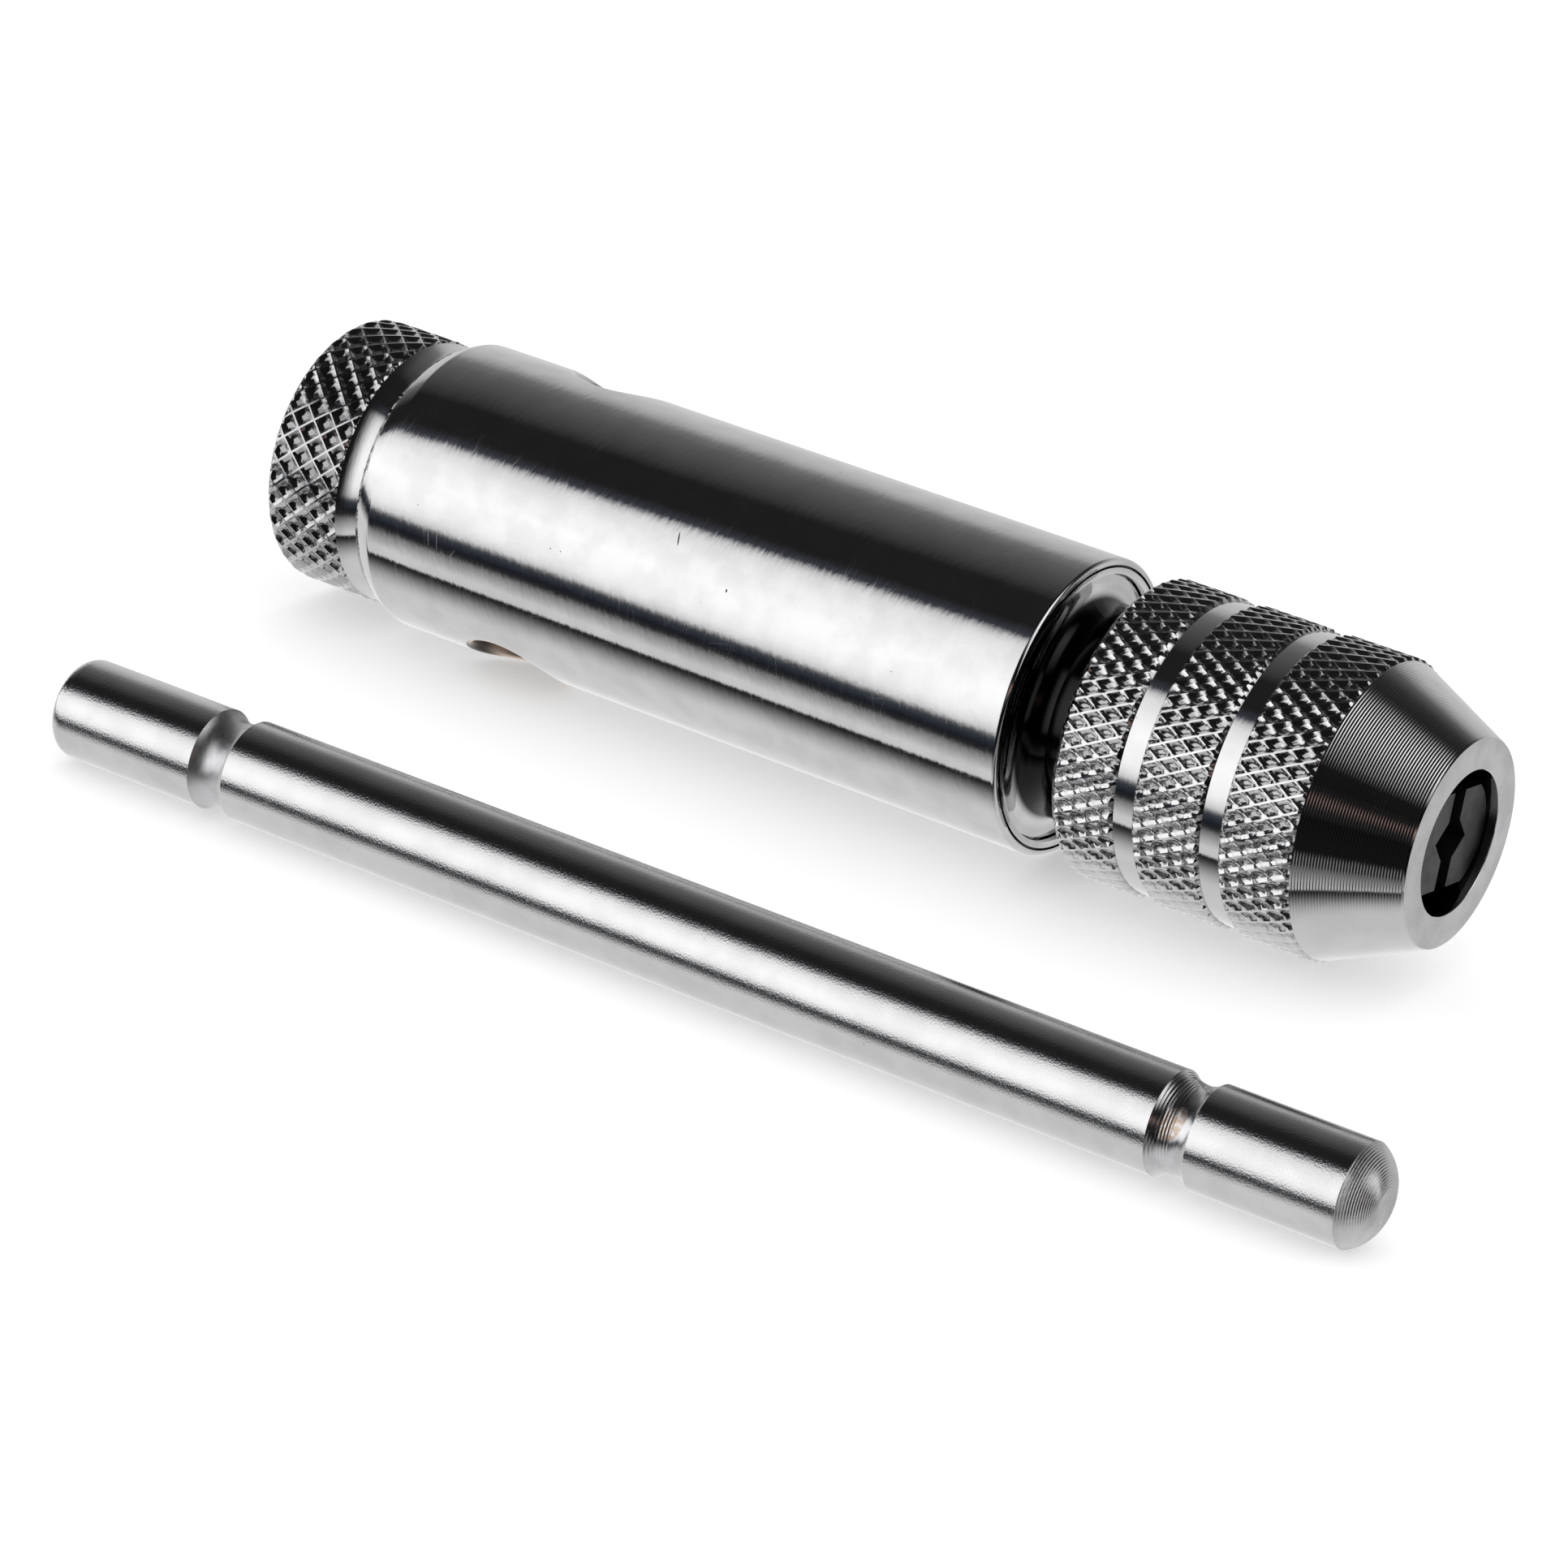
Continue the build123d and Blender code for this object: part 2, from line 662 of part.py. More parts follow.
# Rings: open rings of spring steel
def open_ring(x, inner, outer, width, gap_angle, gap_middle):
    """A flat open ring across the axis, with a gap of the given angle."""
    with BuildPart() as ring:
        with BuildSketch(station(x)):
            start = gap_middle + gap_angle / 2
            with BuildLine():
                rim = CenterArc((0, 0), outer, start, 360 - gap_angle)
                eye = CenterArc((0, 0), inner, start, 360 - gap_angle)
                Line(rim @ 0, eye @ 0)
                Line(rim @ 1, eye @ 1)
            make_face()
        extrude(amount=width)
    return ring.part


save(open_ring(ring_middle - snap_ring_width / 2, ring_bottom + 2 * snap_ring_play,
               bore_radius + snap_ring_depth - snap_ring_play, snap_ring_width,
               snap_ring_gap_angle, 90), "spindle_snap_ring")
save(open_ring(stop_ring_rear, stop_ring_inner_radius, stop_ring_outer_radius, stop_ring_width,
               snap_ring_gap_angle, 90), "sleeve_stop_ring")

# Chuck sleeve: three bands for the knurl, two smooth bands, and a cone down to the nose
with BuildPart() as sleeve:
    cone_top = sleeve_radius - cone_start_step
    groove_radius = sleeve_radius - band_depth
    ring_slot_radius = stop_ring_outer_radius + stop_ring_play
    ring_slot_rear = stop_ring_rear - stop_ring_play
    ring_slot_front = stop_ring_rear + stop_ring_width + stop_ring_play
    x = sleeve_rear
    outside = [(x, sleeve_radius)]
    for knurl_length in knurl_lengths[:-1]:
        x += knurl_length
        outside += [(x, sleeve_radius), (x, groove_radius)]
        x += band_width
        outside += [(x, groove_radius), (x, sleeve_radius)]
    cone_start = x + knurl_lengths[-1]
    outside += [(cone_start, sleeve_radius), (cone_start, cone_top), (sleeve_nose, nose_face_radius)]
    inside = [
        (sleeve_nose, nose_hole_radius),
        (cone_inner_end, nose_hole_radius),
        (cone_inner_start, chamber_radius),
        (sleeve_thread_end, chamber_radius),
        (sleeve_thread_end, thread_radius + thread_play),
        (rear_bore_end, thread_radius + thread_play),
        (rear_bore_end, rear_bore_radius),
        (ring_slot_front, rear_bore_radius),
        (ring_slot_front, ring_slot_radius),
        (ring_slot_rear, ring_slot_radius),
        (ring_slot_rear, rear_bore_radius),
        (sleeve_rear, rear_bore_radius),
    ]
    with BuildSketch(Plane.XZ):
        turned(outside + inside)
    revolve(axis=Axis.X)
    rear_edge = sleeve.faces().filter_by(Axis.X).sort_by(Axis.X)[0].edges().sort_by(SortBy.RADIUS)[-1]
    chamfer(rear_edge, sleeve_rear_bevel)
save(sleeve.part, "chuck_sleeve")


# Jaws: two blocks in the spindle's slot, each with a square notch and a conical back
def jaw(side):
    """One jaw; side is +1 or -1 along the jaws' travel."""
    with BuildPart() as piece:
        flat = jaw_gap / 2
        # The back is turned on a smaller radius than the sleeve's cone, so that it meets the cone
        # on its middle line at every opening
        shift = jaw_inward_travel + jaw_cone_play
        cone_radius = nose_hole_radius + (cone_inner_end - jaw_front) * jaw_slope
        cone_end = jaw_front - (jaw_back_radius - cone_radius) / jaw_slope
        with BuildSketch(Plane.XZ):
            turned([
                (jaw_rear, 0),
                (jaw_rear, jaw_tail_back_radius - shift),
                (jaw_tail_end, jaw_tail_back_radius - shift),
                (jaw_tail_end, jaw_back_radius - shift),
                (cone_end, jaw_back_radius - shift),
                (jaw_front, cone_radius - shift),
                (jaw_front, 0),
            ])
        revolve(axis=Axis.X)
        move = Vector(*jaw_direction) * (jaw_inward_travel * side)
    block = piece.part.moved(Location(move))
    with BuildPart() as result:
        add(block)
        with BuildSketch(jaw_station(jaw_rear)):
            with Locations((side * (flat + chamber_radius / 2), 0)):
                Rectangle(chamber_radius, jaw_width)
        extrude(amount=jaw_front - jaw_rear, mode=Mode.INTERSECT)
        with BuildSketch(jaw_station(jaw_rear)):
            notch = flat + jaw_notch_depth
            with BuildLine():
                Polyline((side * notch, 0), (0, notch), (0, -notch), close=True)
            make_face()
        extrude(amount=jaw_front - jaw_rear, mode=Mode.SUBTRACT)
        # Relief at the rear for the spring ring
        with BuildSketch(jaw_station(jaw_rear)):
            Circle(jaw_spring_radius + jaw_spring_wire_radius + ball_play)
        extrude(amount=jaw_relief_length, mode=Mode.SUBTRACT)
    return result.part


save(jaw(1), "jaw_far")
save(jaw(-1), "jaw_near")

# Spring ring that pushes the two jaws apart
with BuildPart() as jaw_spring:
    spring_x = jaw_rear + jaw_relief_length / 2
    start = 90 + jaw_spring_gap_angle / 2
    with BuildLine(jaw_station(spring_x)) as loop:
        CenterArc((0, 0), jaw_spring_radius, start, 360 - jaw_spring_gap_angle)
    with BuildSketch(Plane(origin=loop.line @ 0, z_dir=loop.line % 0)):
        Circle(jaw_spring_wire_radius)
    sweep()
save(jaw_spring.part, "jaw_spring")

# T-bar, lying beside the wrench: a groove near each end, one crowned tip and one rounded cut end
with BuildPart() as t_bar:
    half = bar_length / 2
    cone_length = (bar_radius - bar_tip_flat_radius) / math.tan(math.radians(bar_tip_angle))
    tip_slope = math.radians(bar_tip_angle)
    tip_crown = (half - cone_length / 2 + bar_tip_crown * math.sin(tip_slope),
                 (bar_radius + bar_tip_flat_radius) / 2 + bar_tip_crown * math.cos(tip_slope))
    half_groove = bar_groove_width / 2
    groove_floor = bar_radius - bar_groove_depth
    left_groove = -half + bar_groove_inset
    right_groove = half - bar_groove_inset
    with BuildSketch(Plane.XZ):
        with BuildLine():
            Line((-half, 0), (-half, bar_radius))
            Line((-half, bar_radius), (left_groove - half_groove, bar_radius))
            ThreePointArc((left_groove - half_groove, bar_radius), (left_groove, groove_floor),
                          (left_groove + half_groove, bar_radius))
            Line((left_groove + half_groove, bar_radius), (right_groove - half_groove, bar_radius))
            ThreePointArc((right_groove - half_groove, bar_radius), (right_groove, groove_floor),
                          (right_groove + half_groove, bar_radius))
            Line((right_groove + half_groove, bar_radius), (half - cone_length, bar_radius))
            ThreePointArc((half - cone_length, bar_radius), tip_crown, (half, bar_tip_flat_radius))
            Line((half, bar_tip_flat_radius), (half, 0))
            Line((half, 0), (-half, 0))
        make_face()
    revolve(axis=Axis.X)
    fillet(t_bar.faces().sort_by(Axis.X)[0].edges(), bar_cut_end_round)
bar_place = Location((bar_centre_x, bar_centre_y, bar_radius - barrel_radius), (0, 0, bar_yaw))
save(t_bar.part.moved(bar_place), "t_bar")
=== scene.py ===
# %% [markdown]
# # A ratchet tap wrench
# The wrench is dressed around its imported CAD model. The parts that carry the look, which are the
# barrel, the chuck sleeve, the reversing knob and the T-bar, are made again here with the knurls,
# turning rings and eased edges that a lathe leaves, and the jaw spring is drawn again in two
# halves. Everything else keeps its CAD shape and gets a finish. Sizes are in millimetres until a
# mesh is written, and metres after that.

# %% Load the imported model
import math

import bmesh
import bpy
from mathutils import Matrix, Vector


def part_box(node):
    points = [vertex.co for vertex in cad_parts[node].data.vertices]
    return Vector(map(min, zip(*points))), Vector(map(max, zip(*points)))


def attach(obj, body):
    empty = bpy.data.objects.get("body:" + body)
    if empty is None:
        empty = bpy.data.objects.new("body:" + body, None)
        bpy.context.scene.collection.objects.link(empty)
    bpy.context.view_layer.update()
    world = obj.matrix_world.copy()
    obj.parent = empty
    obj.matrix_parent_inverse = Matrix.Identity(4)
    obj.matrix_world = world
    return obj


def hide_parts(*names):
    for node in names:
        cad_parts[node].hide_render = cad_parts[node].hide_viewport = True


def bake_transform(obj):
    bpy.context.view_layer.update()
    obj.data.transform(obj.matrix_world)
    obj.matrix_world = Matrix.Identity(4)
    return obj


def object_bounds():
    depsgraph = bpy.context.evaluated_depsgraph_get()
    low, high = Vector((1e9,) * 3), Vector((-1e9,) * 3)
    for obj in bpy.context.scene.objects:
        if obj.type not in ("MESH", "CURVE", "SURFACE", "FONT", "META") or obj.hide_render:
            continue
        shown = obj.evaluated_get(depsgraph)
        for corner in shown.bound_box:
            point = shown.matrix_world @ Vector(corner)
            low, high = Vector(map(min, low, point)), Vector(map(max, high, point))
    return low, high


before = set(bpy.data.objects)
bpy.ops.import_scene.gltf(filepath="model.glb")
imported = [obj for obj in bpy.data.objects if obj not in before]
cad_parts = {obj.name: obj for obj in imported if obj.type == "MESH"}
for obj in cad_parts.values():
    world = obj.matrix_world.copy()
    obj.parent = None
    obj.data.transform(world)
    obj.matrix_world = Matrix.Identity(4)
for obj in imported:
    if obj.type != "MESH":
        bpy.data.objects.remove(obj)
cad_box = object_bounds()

MM = 0.001
scene = bpy.context.scene
print("CAD nodes:", len(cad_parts))

# %% [markdown]
# ## Camera
# The photograph was taken with a long lens from the front right. The camera's place and its three
# turns were fitted to the outlines of the barrel, the sleeve and the bar, so a plain matrix built
# from those angles says more than a Track To constraint would.

# %% Place the camera
CAMERA_PLACE = Vector((247.04, -369.94, 157.56)) * MM
CAMERA_TURNS = [math.radians(a) for a in (31.306, 21.630, 7.857)]
CAMERA_LENS, SENSOR_WIDTH = 140.37, 36

azimuth, elevation, roll = CAMERA_TURNS
back = Vector((math.sin(azimuth) * math.cos(elevation),
               -math.cos(azimuth) * math.cos(elevation), math.sin(elevation)))
level = Vector((math.cos(azimuth), math.sin(azimuth), 0))
upright = back.cross(level)
right = level * math.cos(roll) + upright * math.sin(roll)
up = upright * math.cos(roll) - level * math.sin(roll)

camera_data = bpy.data.cameras.new("camera")
camera_data.lens = CAMERA_LENS
camera_data.sensor_width = SENSOR_WIDTH
camera_data.clip_start, camera_data.clip_end = 0.02, 10
camera = bpy.data.objects.new("camera", camera_data)
scene.collection.objects.link(camera)
camera_turn = Matrix((right, up, back)).transposed().to_4x4()
camera.matrix_world = Matrix.Translation(CAMERA_PLACE) @ camera_turn
scene.camera = camera
scene.view_settings.view_transform = "Standard"
print("camera looks along", [round(-v, 3) for v in back])

# %% [markdown]
# ## Studio
# Chrome has hardly a colour of its own: it shows the room. The photograph's room is a wide pale
# panel in front, a dark ceiling, a dark gap just below the panel and a white table. The world
# paints that room from the direction alone, over the angle round the wrench's axis, with one
# colour ramp each for the left side, the right side and the end. Soft surfaces are lit by a plain
# even white.

# %% Node helpers
def give(tree, socket, value):
    """Link another node's output to the socket, or set the socket's own value."""
    if isinstance(value, bpy.types.NodeSocket):
        tree.links.new(value, socket)
    else:
        socket.default_value = value


def add(tree, kind, inputs=None, **settings):
    """A node with its own settings, and its inputs given by name or number."""
    node = tree.nodes.new(kind)
    for key, value in settings.items():
        setattr(node, key, value)
    for name, value in (inputs or {}).items():
        give(tree, node.inputs[name], value)
    return node


def math_node(tree, operation, *values):
    """A Math node's output; the values are sockets or numbers."""
    return add(tree, "ShaderNodeMath", dict(enumerate(values)), operation=operation).outputs[0]


def map_range(tree, value, low, high, to_low=0.0, to_high=1.0, kind="SMOOTHSTEP"):
    """value from low..high brought to to_low..to_high, without running over."""
    inputs = {"Value": value, "From Min": low, "From Max": high, "To Min": to_low,
              "To Max": to_high}
    return add(tree, "ShaderNodeMapRange", inputs, interpolation_type=kind).outputs["Result"]


def mixed(tree, factor, first, second, kind="RGBA"):
    """The first colour or number where the factor is 0, the second where it is 1."""
    mix = add(tree, "ShaderNodeMix", {"Factor": factor}, data_type=kind)
    for label, value in (("A", first), ("B", second)):
        socket = next(s for s in mix.inputs if s.enabled and s.name == label)
        give(tree, socket, (*value, 1) if isinstance(value, (tuple, list)) else value)
    return next(s for s in mix.outputs if s.enabled)


def object_place(tree):
    """Where a point lies in the shared frame, in metres."""
    return add(tree, "ShaderNodeTexCoord").outputs["Object"]


def axes_of(tree, vector):
    """The X, Y and Z sockets of a vector."""
    return tuple(add(tree, "ShaderNodeSeparateXYZ", {0: vector}).outputs)


def laid_out(tree, vector, kind="POINT", **values):
    """The vector through a Mapping node; values are its Location, Rotation and Scale."""
    inputs = {"Vector": vector, **values}
    return add(tree, "ShaderNodeMapping", inputs, vector_type=kind).outputs[0]


def length_of(tree, vector):
    """How long a vector is."""
    return add(tree, "ShaderNodeVectorMath", {0: vector}, operation="LENGTH").outputs["Value"]


def noise(tree, vector, scale, detail, **settings):
    """A Noise Texture's value, with so many repeats per unit of the vector."""
    inputs = {"Vector": vector, "Scale": scale, "Detail": detail}
    return add(tree, "ShaderNodeTexNoise", inputs, **settings).outputs["Fac"]


def grey_ramp(tree, factor, stops, top):
    """A Color Ramp through (angle in degrees, brightness or colour) stops, as shares of top."""
    node = add(tree, "ShaderNodeValToRGB", {"Fac": factor})
    points = node.color_ramp.elements
    while len(points) < len(stops):
        points.new(0.5)
    for point, (angle, _) in zip(points, stops):
        point.position = (angle + 180) / 360
    for point, (_, tone) in zip(points, stops):
        point.color = (*[v / top for v in (tone if isinstance(tone, tuple) else (tone,) * 3)], 1)
    return node.outputs["Color"]


def for_reflections(tree, plain, mirrored):
    """One shader for what is seen or lit directly, and another for what the metal mirrors."""
    glossy = add(tree, "ShaderNodeLightPath").outputs["Is Glossy Ray"]
    return add(tree, "ShaderNodeMixShader", {0: glossy, 1: plain, 2: mirrored}).outputs[0]


# %% World: the room by direction
PANEL_TOP = 1.75
LEFT_ROOM = [
    (-180, .78), (-160, .72), (-146, 1.04), (-124, .95), (-60, .95), (-46, .99), (-38, .56),
    (-34, .35), (-30, .045), (-26, (.016, .018, .024)), (-20, (.052, .062, .08)), (-17.5, .14),
    (-14, 1.0), (-12, 1.18), (-8, 1.42), (-3, 1.57), (7, 1.69), (17, 1.73), (27, 1.61), (35, 1.52),
    (47, 1.27), (51.5, .95), (56, (.07, .074, .09)), (64, .022), (90, .022), (98, .062),
    (118, .138), (128, .18), (138, .27), (148, .59), (158, .73), (180, .78)]
RIGHT_ROOM = [
    (-180, .77), (-160, .7), (-146, .95), (-96, .9), (-60, .87), (-46, .7), (-40, .45), (-31, .03),
    (-20, .012), (10, .012), (100, .02), (131, .03), (142, .13), (152, .48), (162, .72),
    (180, .77)]
END_ROOM = [
    (-180, .84), (-166, .93), (-146, .93), (-80, .88), (-70, .74), (-64, .5), (-57, .22),
    (-50, .14), (-44, .26), (-38, .36), (-33, .3), (-29, .01), (0, .003), (9, .07),
    (17, (.42, .27, .24)), (24, .03), (32, .006), (44, .012), (50, .2), (56, .55), (64, .9),
    (72, 1.25), (80, 1.6), (88, 1.75), (98, 1.7), (108, 1.05), (116, .25), (122, .02), (140, .08),
    (150, .45), (162, .72), (180, .84)]
# Spans of a direction's X where one part of the room passes into the next
LEFT_TO_RIGHT, RIGHT_TO_END = (-0.30, 0.10), (0.42, 0.52)
FAR_LEFT, LEANING = (-0.80, -0.97), (-0.60, -0.36)
# The far left bends forwards and up. Above the panel's middle the room leans, in degrees
BEND_FORWARD, BEND_UP = 0.26, 0.10
LEAN_ABOVE, LEAN = (30, 45), (5, -3)

world = bpy.data.worlds.new("studio")
scene.world = world
world.use_nodes = True
tree = world.node_tree
tree.nodes.clear()
ray_x, ray_y, ray_z = axes_of(tree, add(tree, "ShaderNodeTexCoord").outputs["Generated"])
far_left = map_range(tree, ray_x, *FAR_LEFT)
forward = math_node(tree, "MULTIPLY_ADD", far_left, BEND_FORWARD,
                    math_node(tree, "MULTIPLY", ray_y, -1.0))
height = math_node(tree, "MULTIPLY_ADD", far_left, BEND_UP, ray_z)
turn = math_node(tree, "ARCTAN2", height, forward)
share = math_node(tree, "MULTIPLY_ADD", turn, 1 / (2 * math.pi), 0.5)
above = map_range(tree, share, *[(a + 180) / 360 for a in LEAN_ABOVE])
lean = map_range(tree, ray_x, *LEANING, *[a / 360 for a in LEAN], "LINEAR")
share = math_node(tree, "MULTIPLY_ADD", above, lean, share)

left_room, right_room, end_room = (grey_ramp(tree, share, stops, PANEL_TOP)
                                   for stops in (LEFT_ROOM, RIGHT_ROOM, END_ROOM))
room = mixed(tree, map_range(tree, ray_x, *LEFT_TO_RIGHT), left_room, right_room)
room = mixed(tree, map_range(tree, ray_x, *RIGHT_TO_END), room, end_room)
studio = add(tree, "ShaderNodeBackground", {"Color": room, "Strength": PANEL_TOP})
plain = add(tree, "ShaderNodeBackground", {"Color": (1, 1, 1, 1)})
both = for_reflections(tree, plain.outputs[0], studio.outputs[0])
add(tree, "ShaderNodeOutputWorld", {"Surface": both})
world.cycles.sampling_method = "NONE"
print("room stops:", len(LEFT_ROOM), "left,", len(RIGHT_ROOM), "right,", len(END_ROOM), "end")

# %% Floor: white to the camera, clear to the metal but for the shadow beside the wrench
FLOOR_HEIGHT = cad_box[0].z
FLOOR_HALF = 1.5
TABLE_GREY, TABLE_GLOW, SHADOW_GREY = 0.75, 0.42, 0.03
# In metres, where the mirrored shadow begins and where it is full, on its four sides
SHADOW_BACK, SHADOW_FRONT = (-0.0100, -0.0168), (-0.0179, -0.0169)
SHADOW_LEFT, SHADOW_RIGHT = (-0.034, -0.020), (0.092, 0.078)
floor_mesh = bpy.data.meshes.new("floor")
floor_mesh.from_pydata([(x * FLOOR_HALF, y * FLOOR_HALF, FLOOR_HEIGHT)
                        for x, y in ((-1, -1), (1, -1), (1, 1), (-1, 1))], [], [(0, 1, 2, 3)])
floor = bpy.data.objects.new("floor", floor_mesh)
scene.collection.objects.link(floor)

paper = bpy.data.materials.new("white_table")
paper.use_nodes = True
tree = paper.node_tree
tree.nodes.clear()
matt = add(tree, "ShaderNodeBsdfDiffuse", {"Color": (TABLE_GREY, TABLE_GREY, TABLE_GREY, 1)})
to_camera = add(tree, "ShaderNodeLightPath").outputs["Is Camera Ray"]
glow_strength = math_node(tree, "MULTIPLY", to_camera, TABLE_GLOW)
glow = add(tree, "ShaderNodeEmission", {"Strength": glow_strength})
lit = add(tree, "ShaderNodeAddShader", {0: matt.outputs[0], 1: glow.outputs[0]})
floor_x, floor_y, _ = axes_of(tree, object_place(tree))
shade = map_range(tree, floor_y, *SHADOW_BACK)
for socket, span in ((floor_y, SHADOW_FRONT), (floor_x, SHADOW_LEFT), (floor_x, SHADOW_RIGHT)):
    shade = math_node(tree, "MULTIPLY", shade, map_range(tree, socket, *span))
shade = mixed(tree, shade, (1, 1, 1), (SHADOW_GREY,) * 3)
clear = add(tree, "ShaderNodeBsdfTransparent", {"Color": shade})
both = for_reflections(tree, lit.outputs[0], clear.outputs[0])
add(tree, "ShaderNodeOutputMaterial", {"Surface": both})
floor_mesh.materials.append(paper)
print("floor at", round(FLOOR_HEIGHT / MM, 2), "mm")

# %% [markdown]
# ## Metal finishes
# Each metal is one Principled shader whose roughness and bump come from noise. A lathe or a
# polishing belt leaves marks that run round the piece, so on round pieces the noise is laid on the
# unrolled surface: metres along the axis and around it. The same builder serves plated, ground,
# blackened and bronze parts with other numbers.

# %% Surface coordinates of a round piece
def unrolled(tree, radius, middle=(0, 0, 0), yaw=0.0):
    """Where a point lies on a round piece: metres along its axis, and around it from the front."""
    x, y, z = axes_of(tree, laid_out(tree, object_place(tree), "TEXTURE",
                                     Location=middle, Rotation=(0, 0, yaw)))
    turn = math_node(tree, "ARCTAN2", math_node(tree, "MULTIPLY", y, -1.0), z)
    turn = math_node(tree, "SUBTRACT", math.pi / 2, turn)
    around = math_node(tree, "MULTIPLY", turn, radius)
    return add(tree, "ShaderNodeCombineXYZ", {"X": x, "Y": around}).outputs[0]


# %% Scratches, pits and single marks
# Lean in degrees, repeats per metre along and across, and how rare they are
SCRATCH_KINDS = [(90, 130, 9000, 0.70), (76, 300, 7000, 0.74), (101, 260, 6000, 0.75),
                 (14, 160, 6000, 0.76)]
SCRATCH_EDGE, SCRATCH_ROUGH = 0.04, 0.26
SPECKS_PER_METRE, SPECK_SIZE, SPECK_COLOUR = 300, 0.016, (0.02, 0.02, 0.022)


def scratches(tree, where, lean, along, across, rarity):
    """Thin scratches at a lean from the axis: 1 on a scratch."""
    laid = laid_out(tree, where, "TEXTURE", Rotation=(0, 0, math.radians(lean)),
                    Scale=(1 / along, 1 / across, 1))
    cloud = noise(tree, laid, 1.0, 1.0, noise_dimensions="2D")
    return map_range(tree, cloud, rarity, rarity + SCRATCH_EDGE)


def pits(tree, where):
    """A few specks of random size on the unrolled surface: 1 in a speck."""
    cells = add(tree, "ShaderNodeTexVoronoi", {"Vector": where, "Scale": SPECKS_PER_METRE},
                voronoi_dimensions="2D")
    chance = add(tree, "ShaderNodeSeparateColor", {0: cells.outputs["Color"]}).outputs[0]
    size = map_range(tree, chance, 0.6, 1.0, 0.0, SPECK_SIZE, "LINEAR")
    outside = math_node(tree, "SUBTRACT", cells.outputs["Distance"], size)
    return map_range(tree, outside, 0.0, -0.005)


def marks(tree, where, radius, spots):
    """Masks of single marks: each has x, angle, half size along, half size around and lean."""
    masks = []
    for x, angle, half_along, half_around, lean in spots:
        laid = laid_out(tree, where, "TEXTURE",
                        Location=(x * MM, radius * math.radians(angle), 0),
                        Rotation=(0, 0, math.radians(lean)),
                        Scale=(half_along * MM, half_around * MM, 1))
        masks.append(map_range(tree, length_of(tree, laid), 1.0, 0.8))
    return masks


def strongest(tree, masks):
    """The highest of several masks at each point."""
    total = masks[0]
    for mask in masks[1:]:
        total = math_node(tree, "MAXIMUM", total, mask)
    return total


# %% One builder for all metals
GRAIN_DETAIL, PATCHES_PER_METRE, PATCH_DETAIL = 4.0, 420.0, 3.0


def metal(name, colour, rough, rough_span=0.06, grain=(900, 60, 60), bump=0.0, mottle=0.0,
          metallic=1.0, turned=None, wear=0.0, dark_marks=(), pale_marks=()):
    """A metal; grain is in repeats per metre, turned is a round piece's (radius, middle, yaw)."""
    made = bpy.data.materials.new(name)
    made.use_nodes = True
    tree = made.node_tree
    shader = tree.nodes["Principled BSDF"]
    shader.inputs["Metallic"].default_value = metallic
    where = unrolled(tree, *turned) if turned else object_place(tree)
    height = noise(tree, laid_out(tree, where, Scale=grain), 1.0, GRAIN_DETAIL)
    roughness = map_range(tree, height, 0.3, 0.7, rough - rough_span / 2, rough + rough_span / 2,
                          "LINEAR")
    patches = noise(tree, object_place(tree), PATCHES_PER_METRE, PATCH_DETAIL)
    tone = mixed(tree, map_range(tree, patches, 0.35, 0.65), [v * (1 - mottle) for v in colour],
                 [min(1, v * (1 + mottle)) for v in colour])
    if wear:
        fine = strongest(tree, [scratches(tree, where, *kind) for kind in SCRATCH_KINDS])
        fine = math_node(tree, "MULTIPLY", fine, map_range(tree, patches, 0.3, 0.7, 0.2, wear))
        worn = strongest(tree, [fine] + marks(tree, where, turned[0], pale_marks))
        specks = strongest(tree, [pits(tree, where)] + marks(tree, where, turned[0], dark_marks))
        roughness = mixed(tree, worn, roughness, SCRATCH_ROUGH, "FLOAT")
        tone = mixed(tree, specks, tone, SPECK_COLOUR)
    give(tree, shader.inputs["Roughness"], roughness)
    give(tree, shader.inputs["Base Color"], tone)
    if bump:
        relief = {"Height": height, "Strength": 1.0, "Distance": bump * MM}
        give(tree, shader.inputs["Normal"], add(tree, "ShaderNodeBump", relief).outputs[0])
    return made


def tinted(made, mask_of, colour, rough):
    """Turn a finish to another colour and roughness where mask_of(tree) is 1."""
    tree = made.node_tree
    shader = tree.nodes["Principled BSDF"]
    mask = mask_of(tree)
    for label, value, kind in (("Base Color", colour, "RGBA"), ("Roughness", rough, "FLOAT")):
        source = shader.inputs[label].links[0].from_socket
        give(tree, shader.inputs[label], mixed(tree, mask, source, value, kind))
    return made


